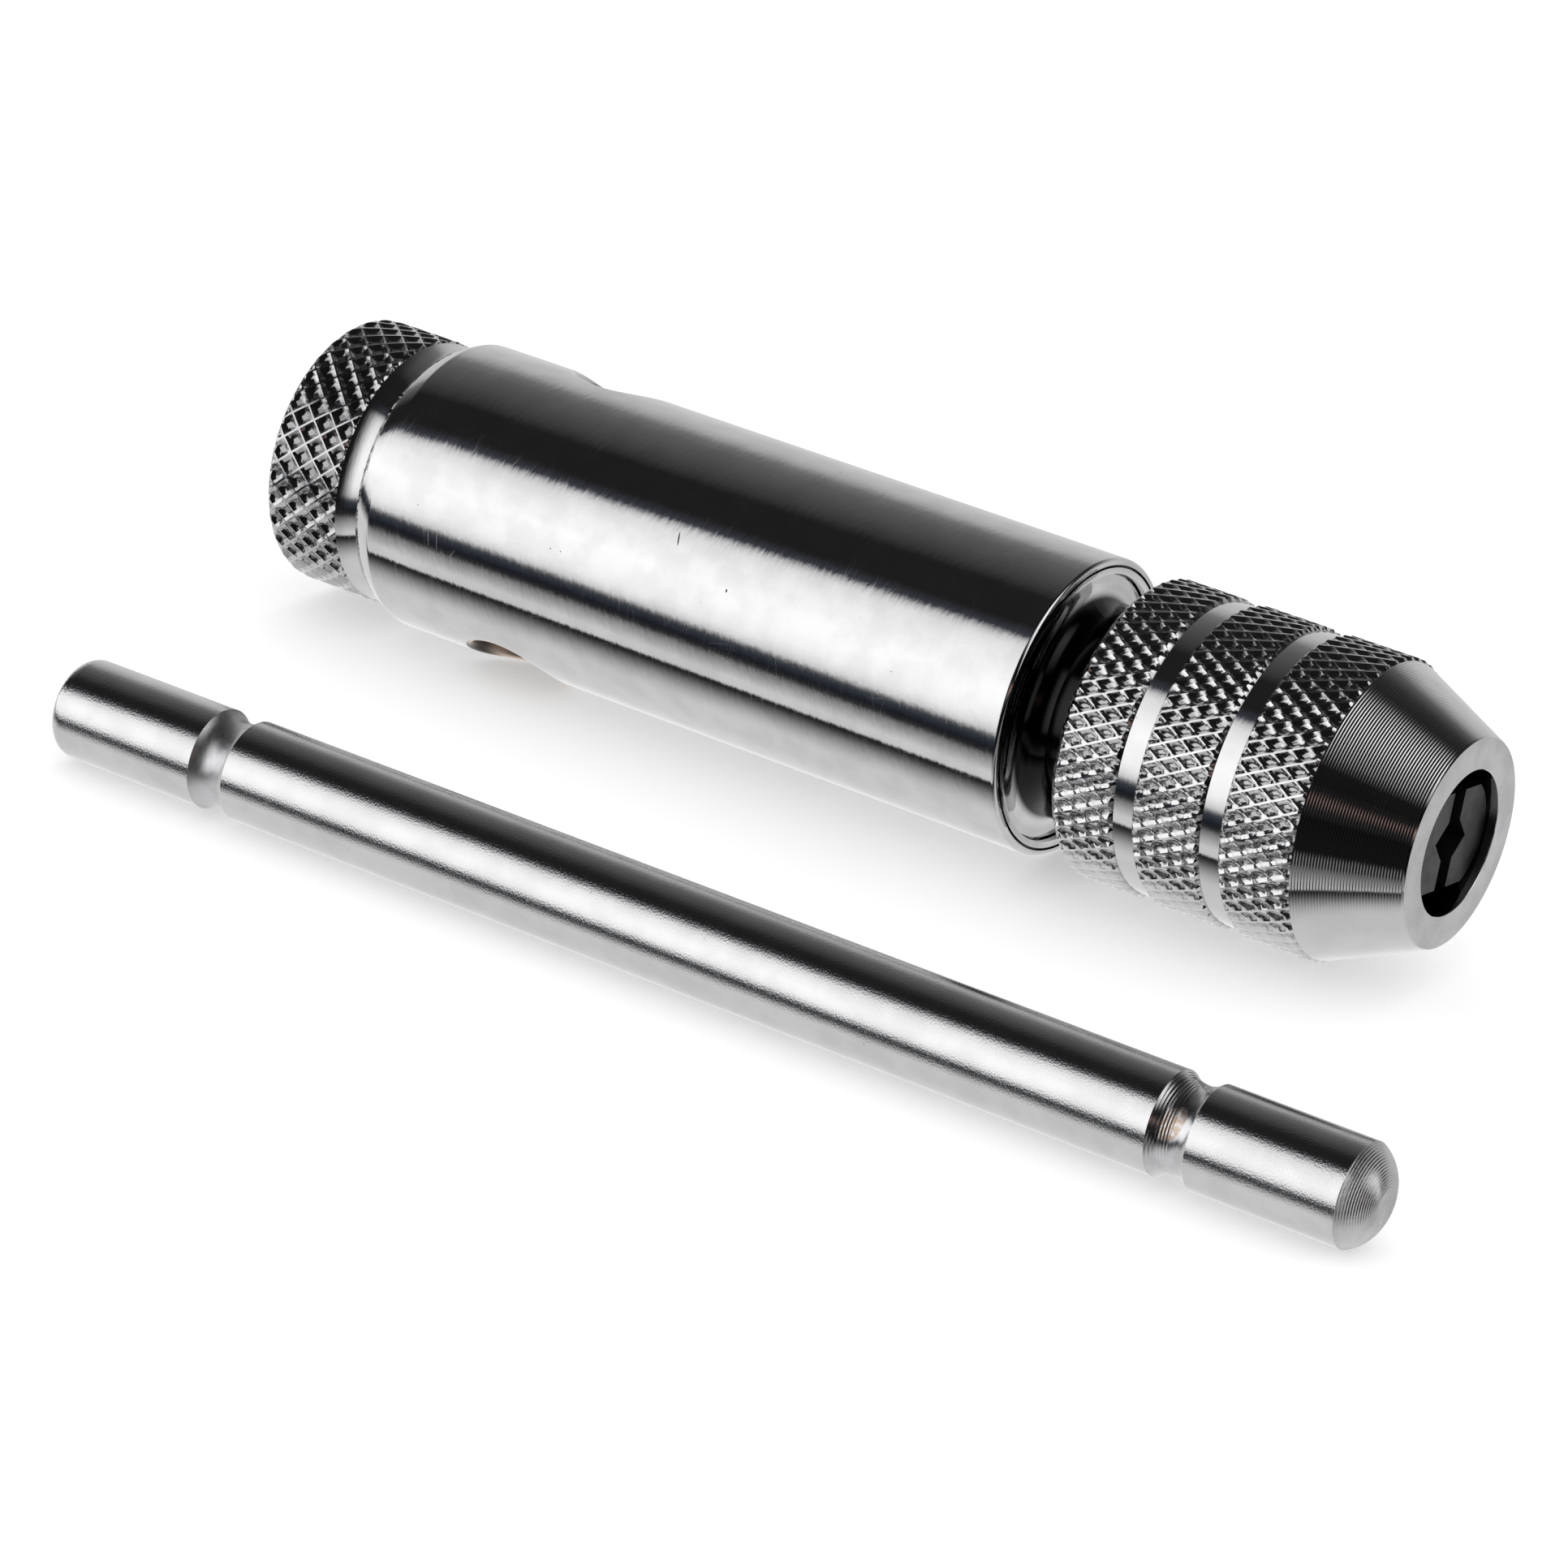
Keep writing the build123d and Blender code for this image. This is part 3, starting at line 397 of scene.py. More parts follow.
# %% Finishes by slot
# After the colour: roughness, its span, grain along X, Y and Z, bump in mm, mottle, metallic
CHROME = (0.55, 0.55, 0.555)
SATIN = (0.50, 0.50, 0.51)
PLAIN_STEEL = ((0.46, 0.43, 0.38), 0.27, 0.12, (900, 300, 300), 0.0012, 0.08)
WRENCH_ROUND = (11.5 * MM, (0, 0, 0), 0.0)
chrome = metal("bright_chrome", CHROME, 0.045, 0.05, (4500, 900, 1), 0.004, 0.03,
               turned=WRENCH_ROUND, wear=0.4)
satin_face = metal("turned_face", SATIN, 0.25, 0.16, (6500, 6500, 6500), 0.016, 0.08)
SLOT_FINISHES = {name: metal(name, *values) for name, values in {
    "plain_steel": PLAIN_STEEL,
    "spring_steel": ((0.36, 0.36, 0.37), 0.22, 0.10, (800, 800, 800), 0.0006, 0.06),
    "hard_steel": ((0.40, 0.39, 0.37), 0.30, 0.12, (700, 700, 700), 0.0012, 0.08),
    "bearing_bronze": ((0.52, 0.33, 0.15), 0.30, 0.12, (900, 300, 300), 0.0012, 0.10),
    "black_oxide": ((0.030, 0.031, 0.033), 0.38, 0.16, (500, 900, 900), 0.0020, 0.25, 0.85),
}.items()}
SLOT_FINISHES["chrome_plate"] = chrome
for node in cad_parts.values():
    slot_name = node.material_slots[0].material.name.split(".")[0]
    node.material_slots[0].material = SLOT_FINISHES[slot_name]
print("finishes for slots:", sorted(SLOT_FINISHES))

# %% [markdown]
# ## Two finishes in one piece
# The spindle is chromed on its flange only: its waist and thread are blued and oiled, so they look
# black between the barrel and the sleeve. The cross hole's wall has painted shade, but for its
# upper mouth, and a beige patch in its lower mouth, right of painted shade at its left end. Each is
# one finish with a mask from the place on the piece, which is simpler than cutting the mesh in two.

# %% Blued waist and painted shade on the hole wall
HOLE_ANGLE = math.radians(116)
BLUED_FROM, BLUED_FULLY = 45.86 * MM, 46.15 * MM
NEAR_HOLE, INSIDE_HOLE = 4.5 * MM, 4.35 * MM
# Heights over which the painted shade on the hole wall fades out towards the upper mouth
UNSHADED_ABOVE, SHADED_BELOW = 8.8 * MM, 7.8 * MM
LOWER_MOUTH_BEIGE = (0.66, 0.54, 0.44)


def past_flange(tree):
    """1 on the waist and the thread of the spindle, in front of its flange."""
    x, _, _ = axes_of(tree, object_place(tree))
    return map_range(tree, x, BLUED_FROM, BLUED_FULLY)


def in_cross_hole(tree):
    """1 on the wall of the cross hole, but for its upper mouth: where shade is painted."""
    flattened = laid_out(tree, object_place(tree), "TEXTURE",
                         Rotation=(math.pi / 2 - HOLE_ANGLE, 0, 0), Scale=(1, 1, 1e6))
    near = map_range(tree, length_of(tree, flattened), NEAR_HOLE, INSIDE_HOLE)
    _, _, z = axes_of(tree, object_place(tree))
    return math_node(tree, "MULTIPLY", near, map_range(tree, z, UNSHADED_ABOVE, SHADED_BELOW))


def beige_in_lower_mouth(tree):
    """1 on the lower mouth's wall right of its left end, which turns beige in place of the painted
    shade.
    """
    x, _, z = axes_of(tree, object_place(tree))
    low = math_node(tree, "MULTIPLY", map_range(tree, z, 0.0, -1.0 * MM),
                    map_range(tree, x, -4.1 * MM, -3.0 * MM))
    return math_node(tree, "MULTIPLY", in_cross_hole(tree), low)


spindle_finish = tinted(metal("flange_chrome", CHROME, 0.07, 0.06, (700, 700, 700), 0.004, 0.03),
                        past_flange, (0.016, 0.015, 0.015), 0.12)
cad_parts["spindle"].material_slots[0].material = spindle_finish
# Painted shade on the cross hole's wall of the carrier
carrier_steel = tinted(metal("carrier_steel", *PLAIN_STEEL),
                       in_cross_hole, (0.05, 0.045, 0.04), 0.3)
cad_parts["bar_carrier"].material_slots[0].material = carrier_steel
# Painted shade on the cross hole's wall of the barrel
barrel_chrome = tinted(
    metal("barrel_chrome", CHROME, 0.05, 0.05, (2400, 800, 1), 0.010, 0.045,
          turned=WRENCH_ROUND, wear=0.6,
          dark_marks=[(16.0, 32.3, 0.065, 0.6, 16), (21.42, 20.1, 0.08, 0.15, 10),
                      (5.73, 12.8, 0.06, 0.06, 0)],
          pale_marks=[(-5.3, 0.2, 0.04, 0.75, 9), (-4.5, 0.6, 0.035, 0.95, 6),
                      (-2.9, -2.2, 0.03, 0.4, -30)]),
    in_cross_hole, (0.03, 0.028, 0.026), 0.3)
# The lower mouth's wall, but for its left end, turns beige over the painted shade
for finish in (carrier_steel, barrel_chrome):
    tinted(finish, beige_in_lower_mouth, LOWER_MOUTH_BEIGE, 0.4)
print("spindle, carrier and barrel have masked finishes")

# %% [markdown]
# ## Turned shapes
# Most of the wrench was made on a lathe, so one helper sweeps an outline of (x, radius) points
# round the axis, and another eases an outline's corners, because no real edge is sharp and a
# chromed edge shows as a thin bright line. Edges that turn more than about 20 degrees stay crisp.

# %% Lathe helpers
CRISP = math.radians(21)


def place_round(x, radius, angle):
    """The point at x and radius; the angle is 0 towards the viewer's side and 90 on top."""
    return Vector((x, -radius * math.cos(angle), radius * math.sin(angle)))


def eased(outline, radius, steps=3):
    """The outline with each inner corner replaced by a small arc of about that radius."""
    points = [outline[0]]
    for before, corner, after in zip(outline, outline[1:], outline[2:]):
        a, b, c = (Vector(p) for p in (before, corner, after))
        cut = min(radius, (a - b).length * 0.45, (c - b).length * 0.45)
        start, end = b + (a - b).normalized() * cut, b + (c - b).normalized() * cut
        for step in range(steps + 1):
            t = step / steps
            points.append(tuple(start * (1 - t) ** 2 + b * (2 * t * (1 - t)) + end * t ** 2))
    return points + [outline[-1]]


def scallops(start, end, pitch, depth, steps=4):
    """Shallow hollows that a round-nosed tool leaves from start to end, as outline points."""
    a, b = Vector(start), Vector(end)
    along = b - a
    inward = Vector((along.y, -along.x)).normalized()
    count = max(1, round(along.length / pitch))
    points = []
    for i in range(count):
        for step in range(steps):
            t = step / steps
            sunk = inward * (depth * 4 * t * (1 - t))
            points.append(tuple(a + along * ((i + t) / count) + sunk))
    return points + [tuple(b)]


def turned_steps(start, end, pitch, flank, lean):
    """The marks of a pointed tool: long flats that lean back, and short steep flanks between."""
    a, b = Vector(start), Vector(end)
    along = b - a
    outward = Vector((-along.y, along.x)).normalized()
    count = round(along.length / pitch)
    rise = math.tan(lean) * (1 - flank) * along.length / count
    points = []
    for i in range(count):
        points += [tuple(a + along * (i / count) - outward * rise),
                   tuple(a + along * ((i + 1 - flank) / count))]
    return points + [tuple(b - outward * rise)]


def finish_mesh(name, bm, materials, crisp=CRISP):
    """Write a bmesh in millimetres as a smooth-shaded object in metres, with crisp edges kept."""
    bmesh.ops.recalc_face_normals(bm, faces=bm.faces)
    mesh = bpy.data.meshes.new(name)
    bm.to_mesh(mesh)
    bm.free()
    mesh.transform(Matrix.Scale(MM, 4))
    mesh.shade_smooth()
    mesh.set_sharp_from_angle(angle=crisp)
    for material in materials:
        mesh.materials.append(material)
    made = bpy.data.objects.new(name, mesh)
    scene.collection.objects.link(made)
    print(name, "has", sum(len(p.vertices) - 2 for p in mesh.polygons), "triangles")
    return made


def join_loops(bm, loops):
    """Faces between each two neighbouring loops of equal length."""
    for here, there in zip(loops, loops[1:]):
        for k in range(len(here)):
            n = (k + 1) % len(here)
            bm.faces.new((here[k], here[n], there[n], there[k]))


def sweep(bm, outline, steps, closed):
    """Sweep an outline round the axis: a closed one is a ring, an open one ends on the axis."""
    rings = []
    for x, radius in outline:
        if radius < 1e-6:
            rings.append([bm.verts.new((x, 0, 0))])
        else:
            rings.append([bm.verts.new(place_round(x, radius, 2 * math.pi * k / steps))
                          for k in range(steps)])
    faces = []
    for here, there in zip(rings, rings[1:] + (rings[:1] if closed else [])):
        for k in range(steps):
            n = (k + 1) % steps
            corners = [here[k % len(here)], here[n % len(here)],
                       there[n % len(there)], there[k % len(there)]]
            unique = list(dict.fromkeys(corners))
            if len(unique) > 2:
                faces.append(bm.faces.new(unique))
    return faces


# %% [markdown]
# ## Barrel
# The barrel is a thin chromed tube, drilled across for the T-bar, with softened hole mouths. A
# Boolean would leave long thin triangles round each mouth, which chrome shows as ripples. So the
# tube is a regular grid with a square left out at each mouth, filled by rings of faces that
# change from the square to the circle, and every point lies exactly on the tube. A thin dark line
# in the front end face shows where the tube's wall ends.

# %% Skin of a drilled tube
COLUMNS, PATCH, PATCH_RINGS = 144, 12, 5
PATCH_HALF = 6.0


def column_angle(k):
    """The angle of a grid column; column 0 runs through the middle of the upper mouth."""
    return HOLE_ANGLE + 2 * math.pi * k / COLUMNS


def drilled_skin(bm, outline, radius, reach):
    """One skin of the tube: swept rings, with a round opening of that reach at both mouths."""
    rear = [p for p in outline if p[0] < -PATCH_HALF - 0.01]
    front = [p for p in outline if p[0] > PATCH_HALF + 0.01]
    middle = [(PATCH_HALF * i / PATCH - PATCH_HALF, radius) for i in range(2 * PATCH + 1)]
    rings = [[bm.verts.new(place_round(x, r, column_angle(k))) for k in range(COLUMNS)]
             for x, r in rear + middle + front]
    first = len(rear)
    last = first + 2 * PATCH
    half = COLUMNS // 2
    for i, (here, there) in enumerate(zip(rings, rings[1:])):
        for k in range(COLUMNS):
            in_square = first <= i < last and min(k % half, half - 1 - k % half) < PATCH
            if not in_square:
                n = (k + 1) % COLUMNS
                bm.faces.new((here[k], here[n], there[n], there[k]))
    openings = []
    for mouth in (0, half):
        square = []
        for b in range(8 * PATCH):
            side, step = divmod((b + PATCH) % (8 * PATCH), 2 * PATCH)
            square.append(((last, step - PATCH), (last - step, PATCH),
                           (first, PATCH - step), (first + step, -PATCH))[side])
        flat = [(PATCH_HALF * (2 * (i - first) / (last - first) - 1),
                 radius * 2 * math.pi * k / COLUMNS) for i, k in square]
        loops = [[rings[i][(k + mouth) % COLUMNS] for i, k in square]]
        for ring in range(1, PATCH_RINGS + 1):
            t = (ring / PATCH_RINGS) ** 0.8
            loop = []
            for b, (x, arc) in enumerate(flat):
                turn = 2 * math.pi * b / (8 * PATCH)
                round_x = reach * math.cos(turn)
                round_arc = radius * math.asin(reach * math.sin(turn) / radius)
                angle = column_angle(mouth) + (arc * (1 - t) + round_arc * t) / radius
                loop.append(bm.verts.new(place_round(x * (1 - t) + round_x * t, radius, angle)))
            loops.append(loop)
        join_loops(bm, loops)
        openings.append(loops[-1])
    return rings[0], rings[-1], openings


# %% Drilled tube
BARREL_REAR, BARREL_FRONT, BARREL_RADIUS, BORE_RADIUS = -12.9, 46.4, 11.5, 10.3
REAR_BEVEL_FRONT, REAR_BEVEL_RADIUS = -11.1, 10.65
FRONT_BEVEL_REAR, FRONT_BEVEL_RADIUS = 46.2, 11.3
REAR_FACE_MIDDLE, LIP_RADIUS, LIP_FRONT = 9.9, 9.4, -11.05
SNAP_GROOVE_REAR, SNAP_GROOVE_FRONT, SNAP_GROOVE_RADIUS = 43.9, 44.8, 10.75
LINE_TOP, LINE_WIDTH, LINE_DEPTH, LINE_SLOPE = 11.0, 0.2, 0.3, 0.02
HOLE_RADIUS, MOUTH_ROUND, MOUTH_STEPS = 4.0, 0.6, 6


def mouth_point(mouth, reach, turn, depth=0.0):
    """A point of the tube's wall, at the given reach from the hole's axis and turn round it."""
    across = reach * math.sin(turn)
    height = math.sqrt(BARREL_RADIUS ** 2 - across ** 2) - depth
    angle = HOLE_ANGLE + mouth
    out = place_round(0, height, angle)
    sideways = Vector((0, math.sin(angle), math.cos(angle)))
    return out + sideways * across + Vector((reach * math.cos(turn), 0, 0))


line_bottom = BARREL_FRONT - LINE_DEPTH
barrel_outside = eased([(BARREL_REAR, REAR_FACE_MIDDLE), (BARREL_REAR, REAR_BEVEL_RADIUS),
                        (REAR_BEVEL_FRONT, BARREL_RADIUS), (FRONT_BEVEL_REAR, BARREL_RADIUS),
                        (BARREL_FRONT, FRONT_BEVEL_RADIUS), (BARREL_FRONT, LINE_TOP)], radius=0.12)
barrel_outside += [(line_bottom, LINE_TOP - LINE_SLOPE),
                   (line_bottom, LINE_TOP - LINE_WIDTH + LINE_SLOPE)]
barrel_inside = eased([(BARREL_REAR, REAR_FACE_MIDDLE), (BARREL_REAR, LIP_RADIUS),
                       (LIP_FRONT, LIP_RADIUS), (LIP_FRONT, BORE_RADIUS),
                       (SNAP_GROOVE_REAR, BORE_RADIUS), (SNAP_GROOVE_REAR, SNAP_GROOVE_RADIUS),
                       (SNAP_GROOVE_FRONT, SNAP_GROOVE_RADIUS), (SNAP_GROOVE_FRONT, BORE_RADIUS),
                       (BARREL_FRONT, BORE_RADIUS), (BARREL_FRONT, LINE_TOP - LINE_WIDTH)],
                      radius=0.08, steps=2)
bm = bmesh.new()
outer_rear, outer_front, outer_mouths = drilled_skin(bm, barrel_outside, BARREL_RADIUS,
                                                     HOLE_RADIUS + MOUTH_ROUND)
inner_rear, inner_front, inner_mouths = drilled_skin(bm, barrel_inside, BORE_RADIUS, HOLE_RADIUS)
join_loops(bm, [outer_rear, inner_rear])
join_loops(bm, [outer_front, inner_front])
for mouth, (outer_loop, inner_loop) in enumerate(zip(outer_mouths, inner_mouths)):
    loops = [outer_loop]
    for step in range(1, MOUTH_STEPS + 1):
        t = step / MOUTH_STEPS
        loop = []
        for b in range(len(outer_loop)):
            turn = 2 * math.pi * b / len(outer_loop)
            rim = mouth_point(mouth * math.pi, HOLE_RADIUS + MOUTH_ROUND, turn)
            corner = mouth_point(mouth * math.pi, HOLE_RADIUS, turn)
            wall = mouth_point(mouth * math.pi, HOLE_RADIUS, turn, MOUTH_ROUND)
            loop.append(bm.verts.new(rim * (1 - t) ** 2 + corner * (2 * t * (1 - t))
                                     + wall * t ** 2))
        loops.append(loop)
    join_loops(bm, loops + [inner_loop])
for face in bm.faces:
    middle = face.calc_center_median()
    off_line = abs(middle.yz.length - LINE_TOP + LINE_WIDTH / 2)
    if middle.x > line_bottom - 0.01 and off_line < LINE_WIDTH * 0.6:
        face.material_index = 1
barrel = finish_mesh("barrel_shell", bm, [barrel_chrome, SLOT_FINISHES["black_oxide"]])
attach(barrel, "barrel")
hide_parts("barrel")

# %% [markdown]
# ## T-bar
# The bar is a plain ground rod, rounded at the cut end and crowned at the other, with a round
# groove near each end for the ball that holds it. It is swept like the rest, with the tool's steps
# in one groove and on the crown, and then laid beside the wrench. Its centreless grinding is a
# finer, duller grain than the barrel's polish, so it has finishes of its own. The photograph's
# wrench doesn't mirror it, so it is hidden from reflections.

# %% Ground finish, with a heat mark in the front groove
BAR_HALF, BAR_RADIUS, CUT_ROUND = 54.375, 3.75, 1.2
TIP_FLAT, TIP_LENGTH, TIP_CROWN = 1.2, 1.853, 0.38
GROOVE_AT, GROOVE_HALF, GROOVE_DEPTH = 39.8, 1.5, 0.57
BAR_PLACE, BAR_YAW = Vector((42.5, -42.75, -7.75)), math.radians(0.95)
BAR_ROUND = (BAR_RADIUS * MM, BAR_PLACE * MM, BAR_YAW)
HEAT_MARK = (39.75, 26.0, 0.85, 1.7, -12)
HEAT_CLOUDS = 2600.0


def heat_marked(tree):
    """1 in the middle of the brown mark, with a soft and broken edge."""
    where = unrolled(tree, *BAR_ROUND)
    cloud = noise(tree, where, HEAT_CLOUDS, 2.0)
    wide = strongest(tree, marks(tree, where, BAR_ROUND[0], [HEAT_MARK]))
    return math_node(tree, "MULTIPLY", wide, map_range(tree, cloud, 0.3, 0.62))


ground_steel = metal("ground_steel", CHROME, 0.085, 0.07, (8000, 6500, 1), 0.017, 0.04,
                     turned=BAR_ROUND, wear=0.3)
satin_groove = metal("satin_groove", SATIN, 0.36, 0.10, (3000, 1500, 1), 0.010, 0.08,
                     turned=BAR_ROUND)
satin_tip = metal("satin_tip", (0.47, 0.47, 0.475), 0.31, 0.16, (5000, 5000, 5000), 0.012, 0.14)
ringed_groove = tinted(metal("ringed_groove", SATIN, 0.20, 0.10, (5000, 1200, 1), 0.006, 0.10,
                             turned=BAR_ROUND), heat_marked, (0.44, 0.35, 0.28), 0.34)
BAR_FINISHES = [ground_steel, satin_groove, ringed_groove, satin_tip]
print("bar finishes:", [finish.name for finish in BAR_FINISHES])

# %% Bar
BAR_STEPS, GROOVE_STEPS, RIDGED_STEPS = 96, 30, 17
RIDGE, FAINT_RIDGE = 0.024, 0.005
TIP_RINGS, TIP_RING_DEPTH = 34, 0.040


def groove(middle, ridged):
    """A round-bottomed groove as outline points; its first ridged steps carry high ridges."""
    arc_radius = (GROOVE_HALF ** 2 + GROOVE_DEPTH ** 2) / (2 * GROOVE_DEPTH)
    half_turn = math.asin(GROOVE_HALF / arc_radius)
    points = []
    for step in range(GROOVE_STEPS + 1):
        a = half_turn * (2 * step / GROOVE_STEPS - 1)
        lift = (RIDGE if step < ridged else FAINT_RIDGE) if step % 2 and ridged else 0.0
        points.append((middle + arc_radius * math.sin(a),
                       BAR_RADIUS - GROOVE_DEPTH + arc_radius * (1 - math.cos(a)) + lift))
    return points


def crowned_tip(steps, depth):
    """The crowned end as an arc, with every other point sunk to leave the tool's fine rings."""
    start, end = Vector((BAR_HALF - TIP_LENGTH, BAR_RADIUS)), Vector((BAR_HALF, TIP_FLAT))
    half_chord = (end - start).length / 2
    across = Vector((start.y - end.y, end.x - start.x)).normalized()
    arc_radius = (half_chord ** 2 + TIP_CROWN ** 2) / (2 * TIP_CROWN)
    centre = (start + end) / 2 - across * (arc_radius - TIP_CROWN)
    lean = math.atan2(across.y, across.x)
    half_turn = math.asin(half_chord / arc_radius)
    points = []
    for step in range(steps + 1):
        a = lean + half_turn * (1 - 2 * step / steps)
        reach = arc_radius - (depth if step % 2 else 0)
        points.append((centre.x + reach * math.cos(a), centre.y + reach * math.sin(a)))
    return points


cut_round = [(-BAR_HALF + CUT_ROUND * (1 - math.cos(a)), BAR_RADIUS - CUT_ROUND * (1 - math.sin(a)))
             for a in (math.radians(9 * i) for i in range(11))]
flat_rings = scallops((BAR_HALF, TIP_FLAT - 0.06), (BAR_HALF, 0.15), pitch=0.15, depth=0.02)
bar_outline = ([(-BAR_HALF, 0), (-BAR_HALF, 1.2)] + cut_round
               + groove(-GROOVE_AT, 0) + groove(GROOVE_AT, RIDGED_STEPS)
               + [(BAR_HALF - TIP_LENGTH - 0.05, BAR_RADIUS)]
               + crowned_tip(TIP_RINGS, TIP_RING_DEPTH) + flat_rings + [(BAR_HALF, 0)])
bm = bmesh.new()
for face in sweep(bm, bar_outline, BAR_STEPS, closed=False):
    middle = face.calc_center_median().x
    if abs(abs(middle) - GROOVE_AT) < GROOVE_HALF:
        face.material_index = 2 if middle > 0 else 1
    elif middle > BAR_HALF - TIP_LENGTH:
        face.material_index = 3
lay_down = Matrix.Translation(BAR_PLACE) @ Matrix.Rotation(BAR_YAW, 4, "Z")
bmesh.ops.transform(bm, matrix=lay_down, verts=bm.verts)
bar = finish_mesh("t_bar_rod", bm, BAR_FINISHES)
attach(bar, "barrel")
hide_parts("t_bar")
bar.visible_glossy = False

# %% [markdown]
# ## Jaw spring
# The wire ring behind the jaws is drawn again as two halves, each running from the bottom of the
# ring round its own side. The wire sits a little further in than the solid ring, so that it has
# room at both limits.

# %% Open ring in two halves
JAW_ROLL = math.radians(5)
JAW_LINE = Vector((0, math.cos(JAW_ROLL), -math.sin(JAW_ROLL)))
JAW_UP = Vector((0, math.sin(JAW_ROLL), math.cos(JAW_ROLL)))
RING_RADIUS, RING_END_ANGLE, RING_STEPS = 4.3, 65, 32
WIRE_RADIUS, WIRE_STEPS = 0.4, 12
ring_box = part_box("jaw_spring")
ring_middle = Vector(((ring_box[0][0] + ring_box[1][0]) / 2 / MM, 0, 0))
for name, body, side in (("jaw_spring_far", "far_jaw", 1), ("jaw_spring_near", "near_jaw", -1)):
    bm = bmesh.new()
    loops = []
    for step in range(RING_STEPS + 1):
        a = math.radians(-90 + (RING_END_ANGLE + 90) * step / RING_STEPS)
        outwards = JAW_LINE * side * math.cos(a) + JAW_UP * math.sin(a)
        loop = []
        for k in range(WIRE_STEPS):
            b = 2 * math.pi * k / WIRE_STEPS
            loop.append(bm.verts.new(
                ring_middle + outwards * (RING_RADIUS + WIRE_RADIUS * math.cos(b))
                + Vector((WIRE_RADIUS * math.sin(b), 0, 0))))
        loops.append(loop)
    join_loops(bm, loops)
    bm.faces.new(loops[0])
    bm.faces.new(loops[-1])
    half_ring = finish_mesh(name, bm, [SLOT_FINISHES["spring_steel"]], crisp=math.radians(50))
    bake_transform(half_ring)
    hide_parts("jaw_spring")

# %% [markdown]
# ## Knurls
# The sleeve and the knob were rolled with a diamond knurl: two sets of thin raised lines that
# cross, with hollows between them. Displacing a grid would leave saw-toothed lines, so one hollow
# is modelled as a small diamond tile, and Geometry Nodes lay that tile out on its slanting
# lattice. The flat sheet is trimmed to the band and rolled onto the radius.

# %% One hollow as a tile
def knurl_tile(name, pitch, slant, wide_line, thin_line, drop, profile):
    """A diamond tile: a hollow of the given profile between lines, the thin ones lower by drop."""
    row = pitch / math.tan(slant)
    normal_pitch = pitch * math.cos(slant)

    def knots(line):
        """Shares of the tile where faces meet, and the depth there, from side to side."""
        insets = [0.0] + [line / 2 + inset for inset, _ in profile]
        depths = [0.0] + [depth for _, depth in profile]
        shares = [v / normal_pitch for v in insets]
        return shares + [1 - v for v in reversed(shares)], depths + depths[::-1]

    (s_shares, s_depths), (t_shares, t_depths) = knots(wide_line), knots(thin_line)
    vertices = [((t - s) / 2 * row, (s + t) / 2 * pitch, -min(ds, max(dt, drop)))
                for s, ds in zip(s_shares, s_depths) for t, dt in zip(t_shares, t_depths)]
    n = len(t_shares)
    faces = [(i * n + j, i * n + j + 1, (i + 1) * n + j + 1, (i + 1) * n + j)
             for i in range(len(s_shares) - 1) for j in range(n - 1)]
    mesh = bpy.data.meshes.new(name)
    mesh.from_pydata(vertices, [], faces)
    return bpy.data.objects.new(name, mesh)


# %% Geometry Nodes: tiles on the slanting lattice
LATTICE_INPUTS = [("Geometry", "Geometry"), ("Tile", "Object"), ("Starts", "Int"), ("Rows", "Int"),
                  ("First Row", "Int"), ("Pitch", "Float"), ("Row Step", "Float"),
                  ("Weld", "Float"), ("Finish", "Material")]


def lattice_tree():
    """A node tree that puts the tile at every crossing of the lattice, and joins the tiles."""
    group = bpy.data.node_groups.new("knurl_lattice", "GeometryNodeTree")
    face = group.interface
    face.new_socket("Geometry", in_out="OUTPUT", socket_type="NodeSocketGeometry")
    for label, kind in LATTICE_INPUTS:
        face.new_socket(label, in_out="INPUT", socket_type="NodeSocket" + kind)
    given = add(group, "NodeGroupInput").outputs
    index = add(group, "GeometryNodeInputIndex").outputs[0]
    start = math_node(group, "MODULO", index, given["Starts"])
    row = math_node(group, "FLOOR", math_node(group, "DIVIDE", index, given["Starts"]))
    row = math_node(group, "ADD", row, given["First Row"])
    along = math_node(group, "MULTIPLY", row, given["Row Step"])
    around = math_node(group, "MULTIPLY", math_node(group, "MULTIPLY_ADD", start, 2.0, row),
                       math_node(group, "MULTIPLY", given["Pitch"], 0.5))
    spot = add(group, "ShaderNodeCombineXYZ", {"X": along, "Y": around}).outputs[0]
    count = math_node(group, "MULTIPLY", given["Starts"], given["Rows"])
    points = add(group, "GeometryNodePoints", {"Count": count, "Position": spot}).outputs[0]
    tile = add(group, "GeometryNodeObjectInfo", {"Object": given["Tile"]}).outputs["Geometry"]
    shape = add(group, "GeometryNodeInstanceOnPoints", {"Points": points, "Instance": tile})
    for kind, values in (("RealizeInstances", {}), ("MergeByDistance", {"Distance": given["Weld"]}),
                         ("SetMaterial", {"Material": given["Finish"]})):
        shape = add(group, "GeometryNode" + kind, {0: shape.outputs[0], **values})
    add(group, "NodeGroupOutput", {0: shape.outputs[0]})
    return group


LATTICE = lattice_tree()
print("lattice tree has", len(LATTICE.nodes), "nodes")


# %% Lay out, trim and roll a band
TILE_WELD, SEAM_WELD, CUT_SNAP, RIM_SNAP = 0.004, 0.003, 0.002, 0.02
KNURL_CRISP = math.radians(24)
# Painted shade: the share of the chrome's colour left at the bottom of the hollows
HOLLOW_SHADE = 0.62


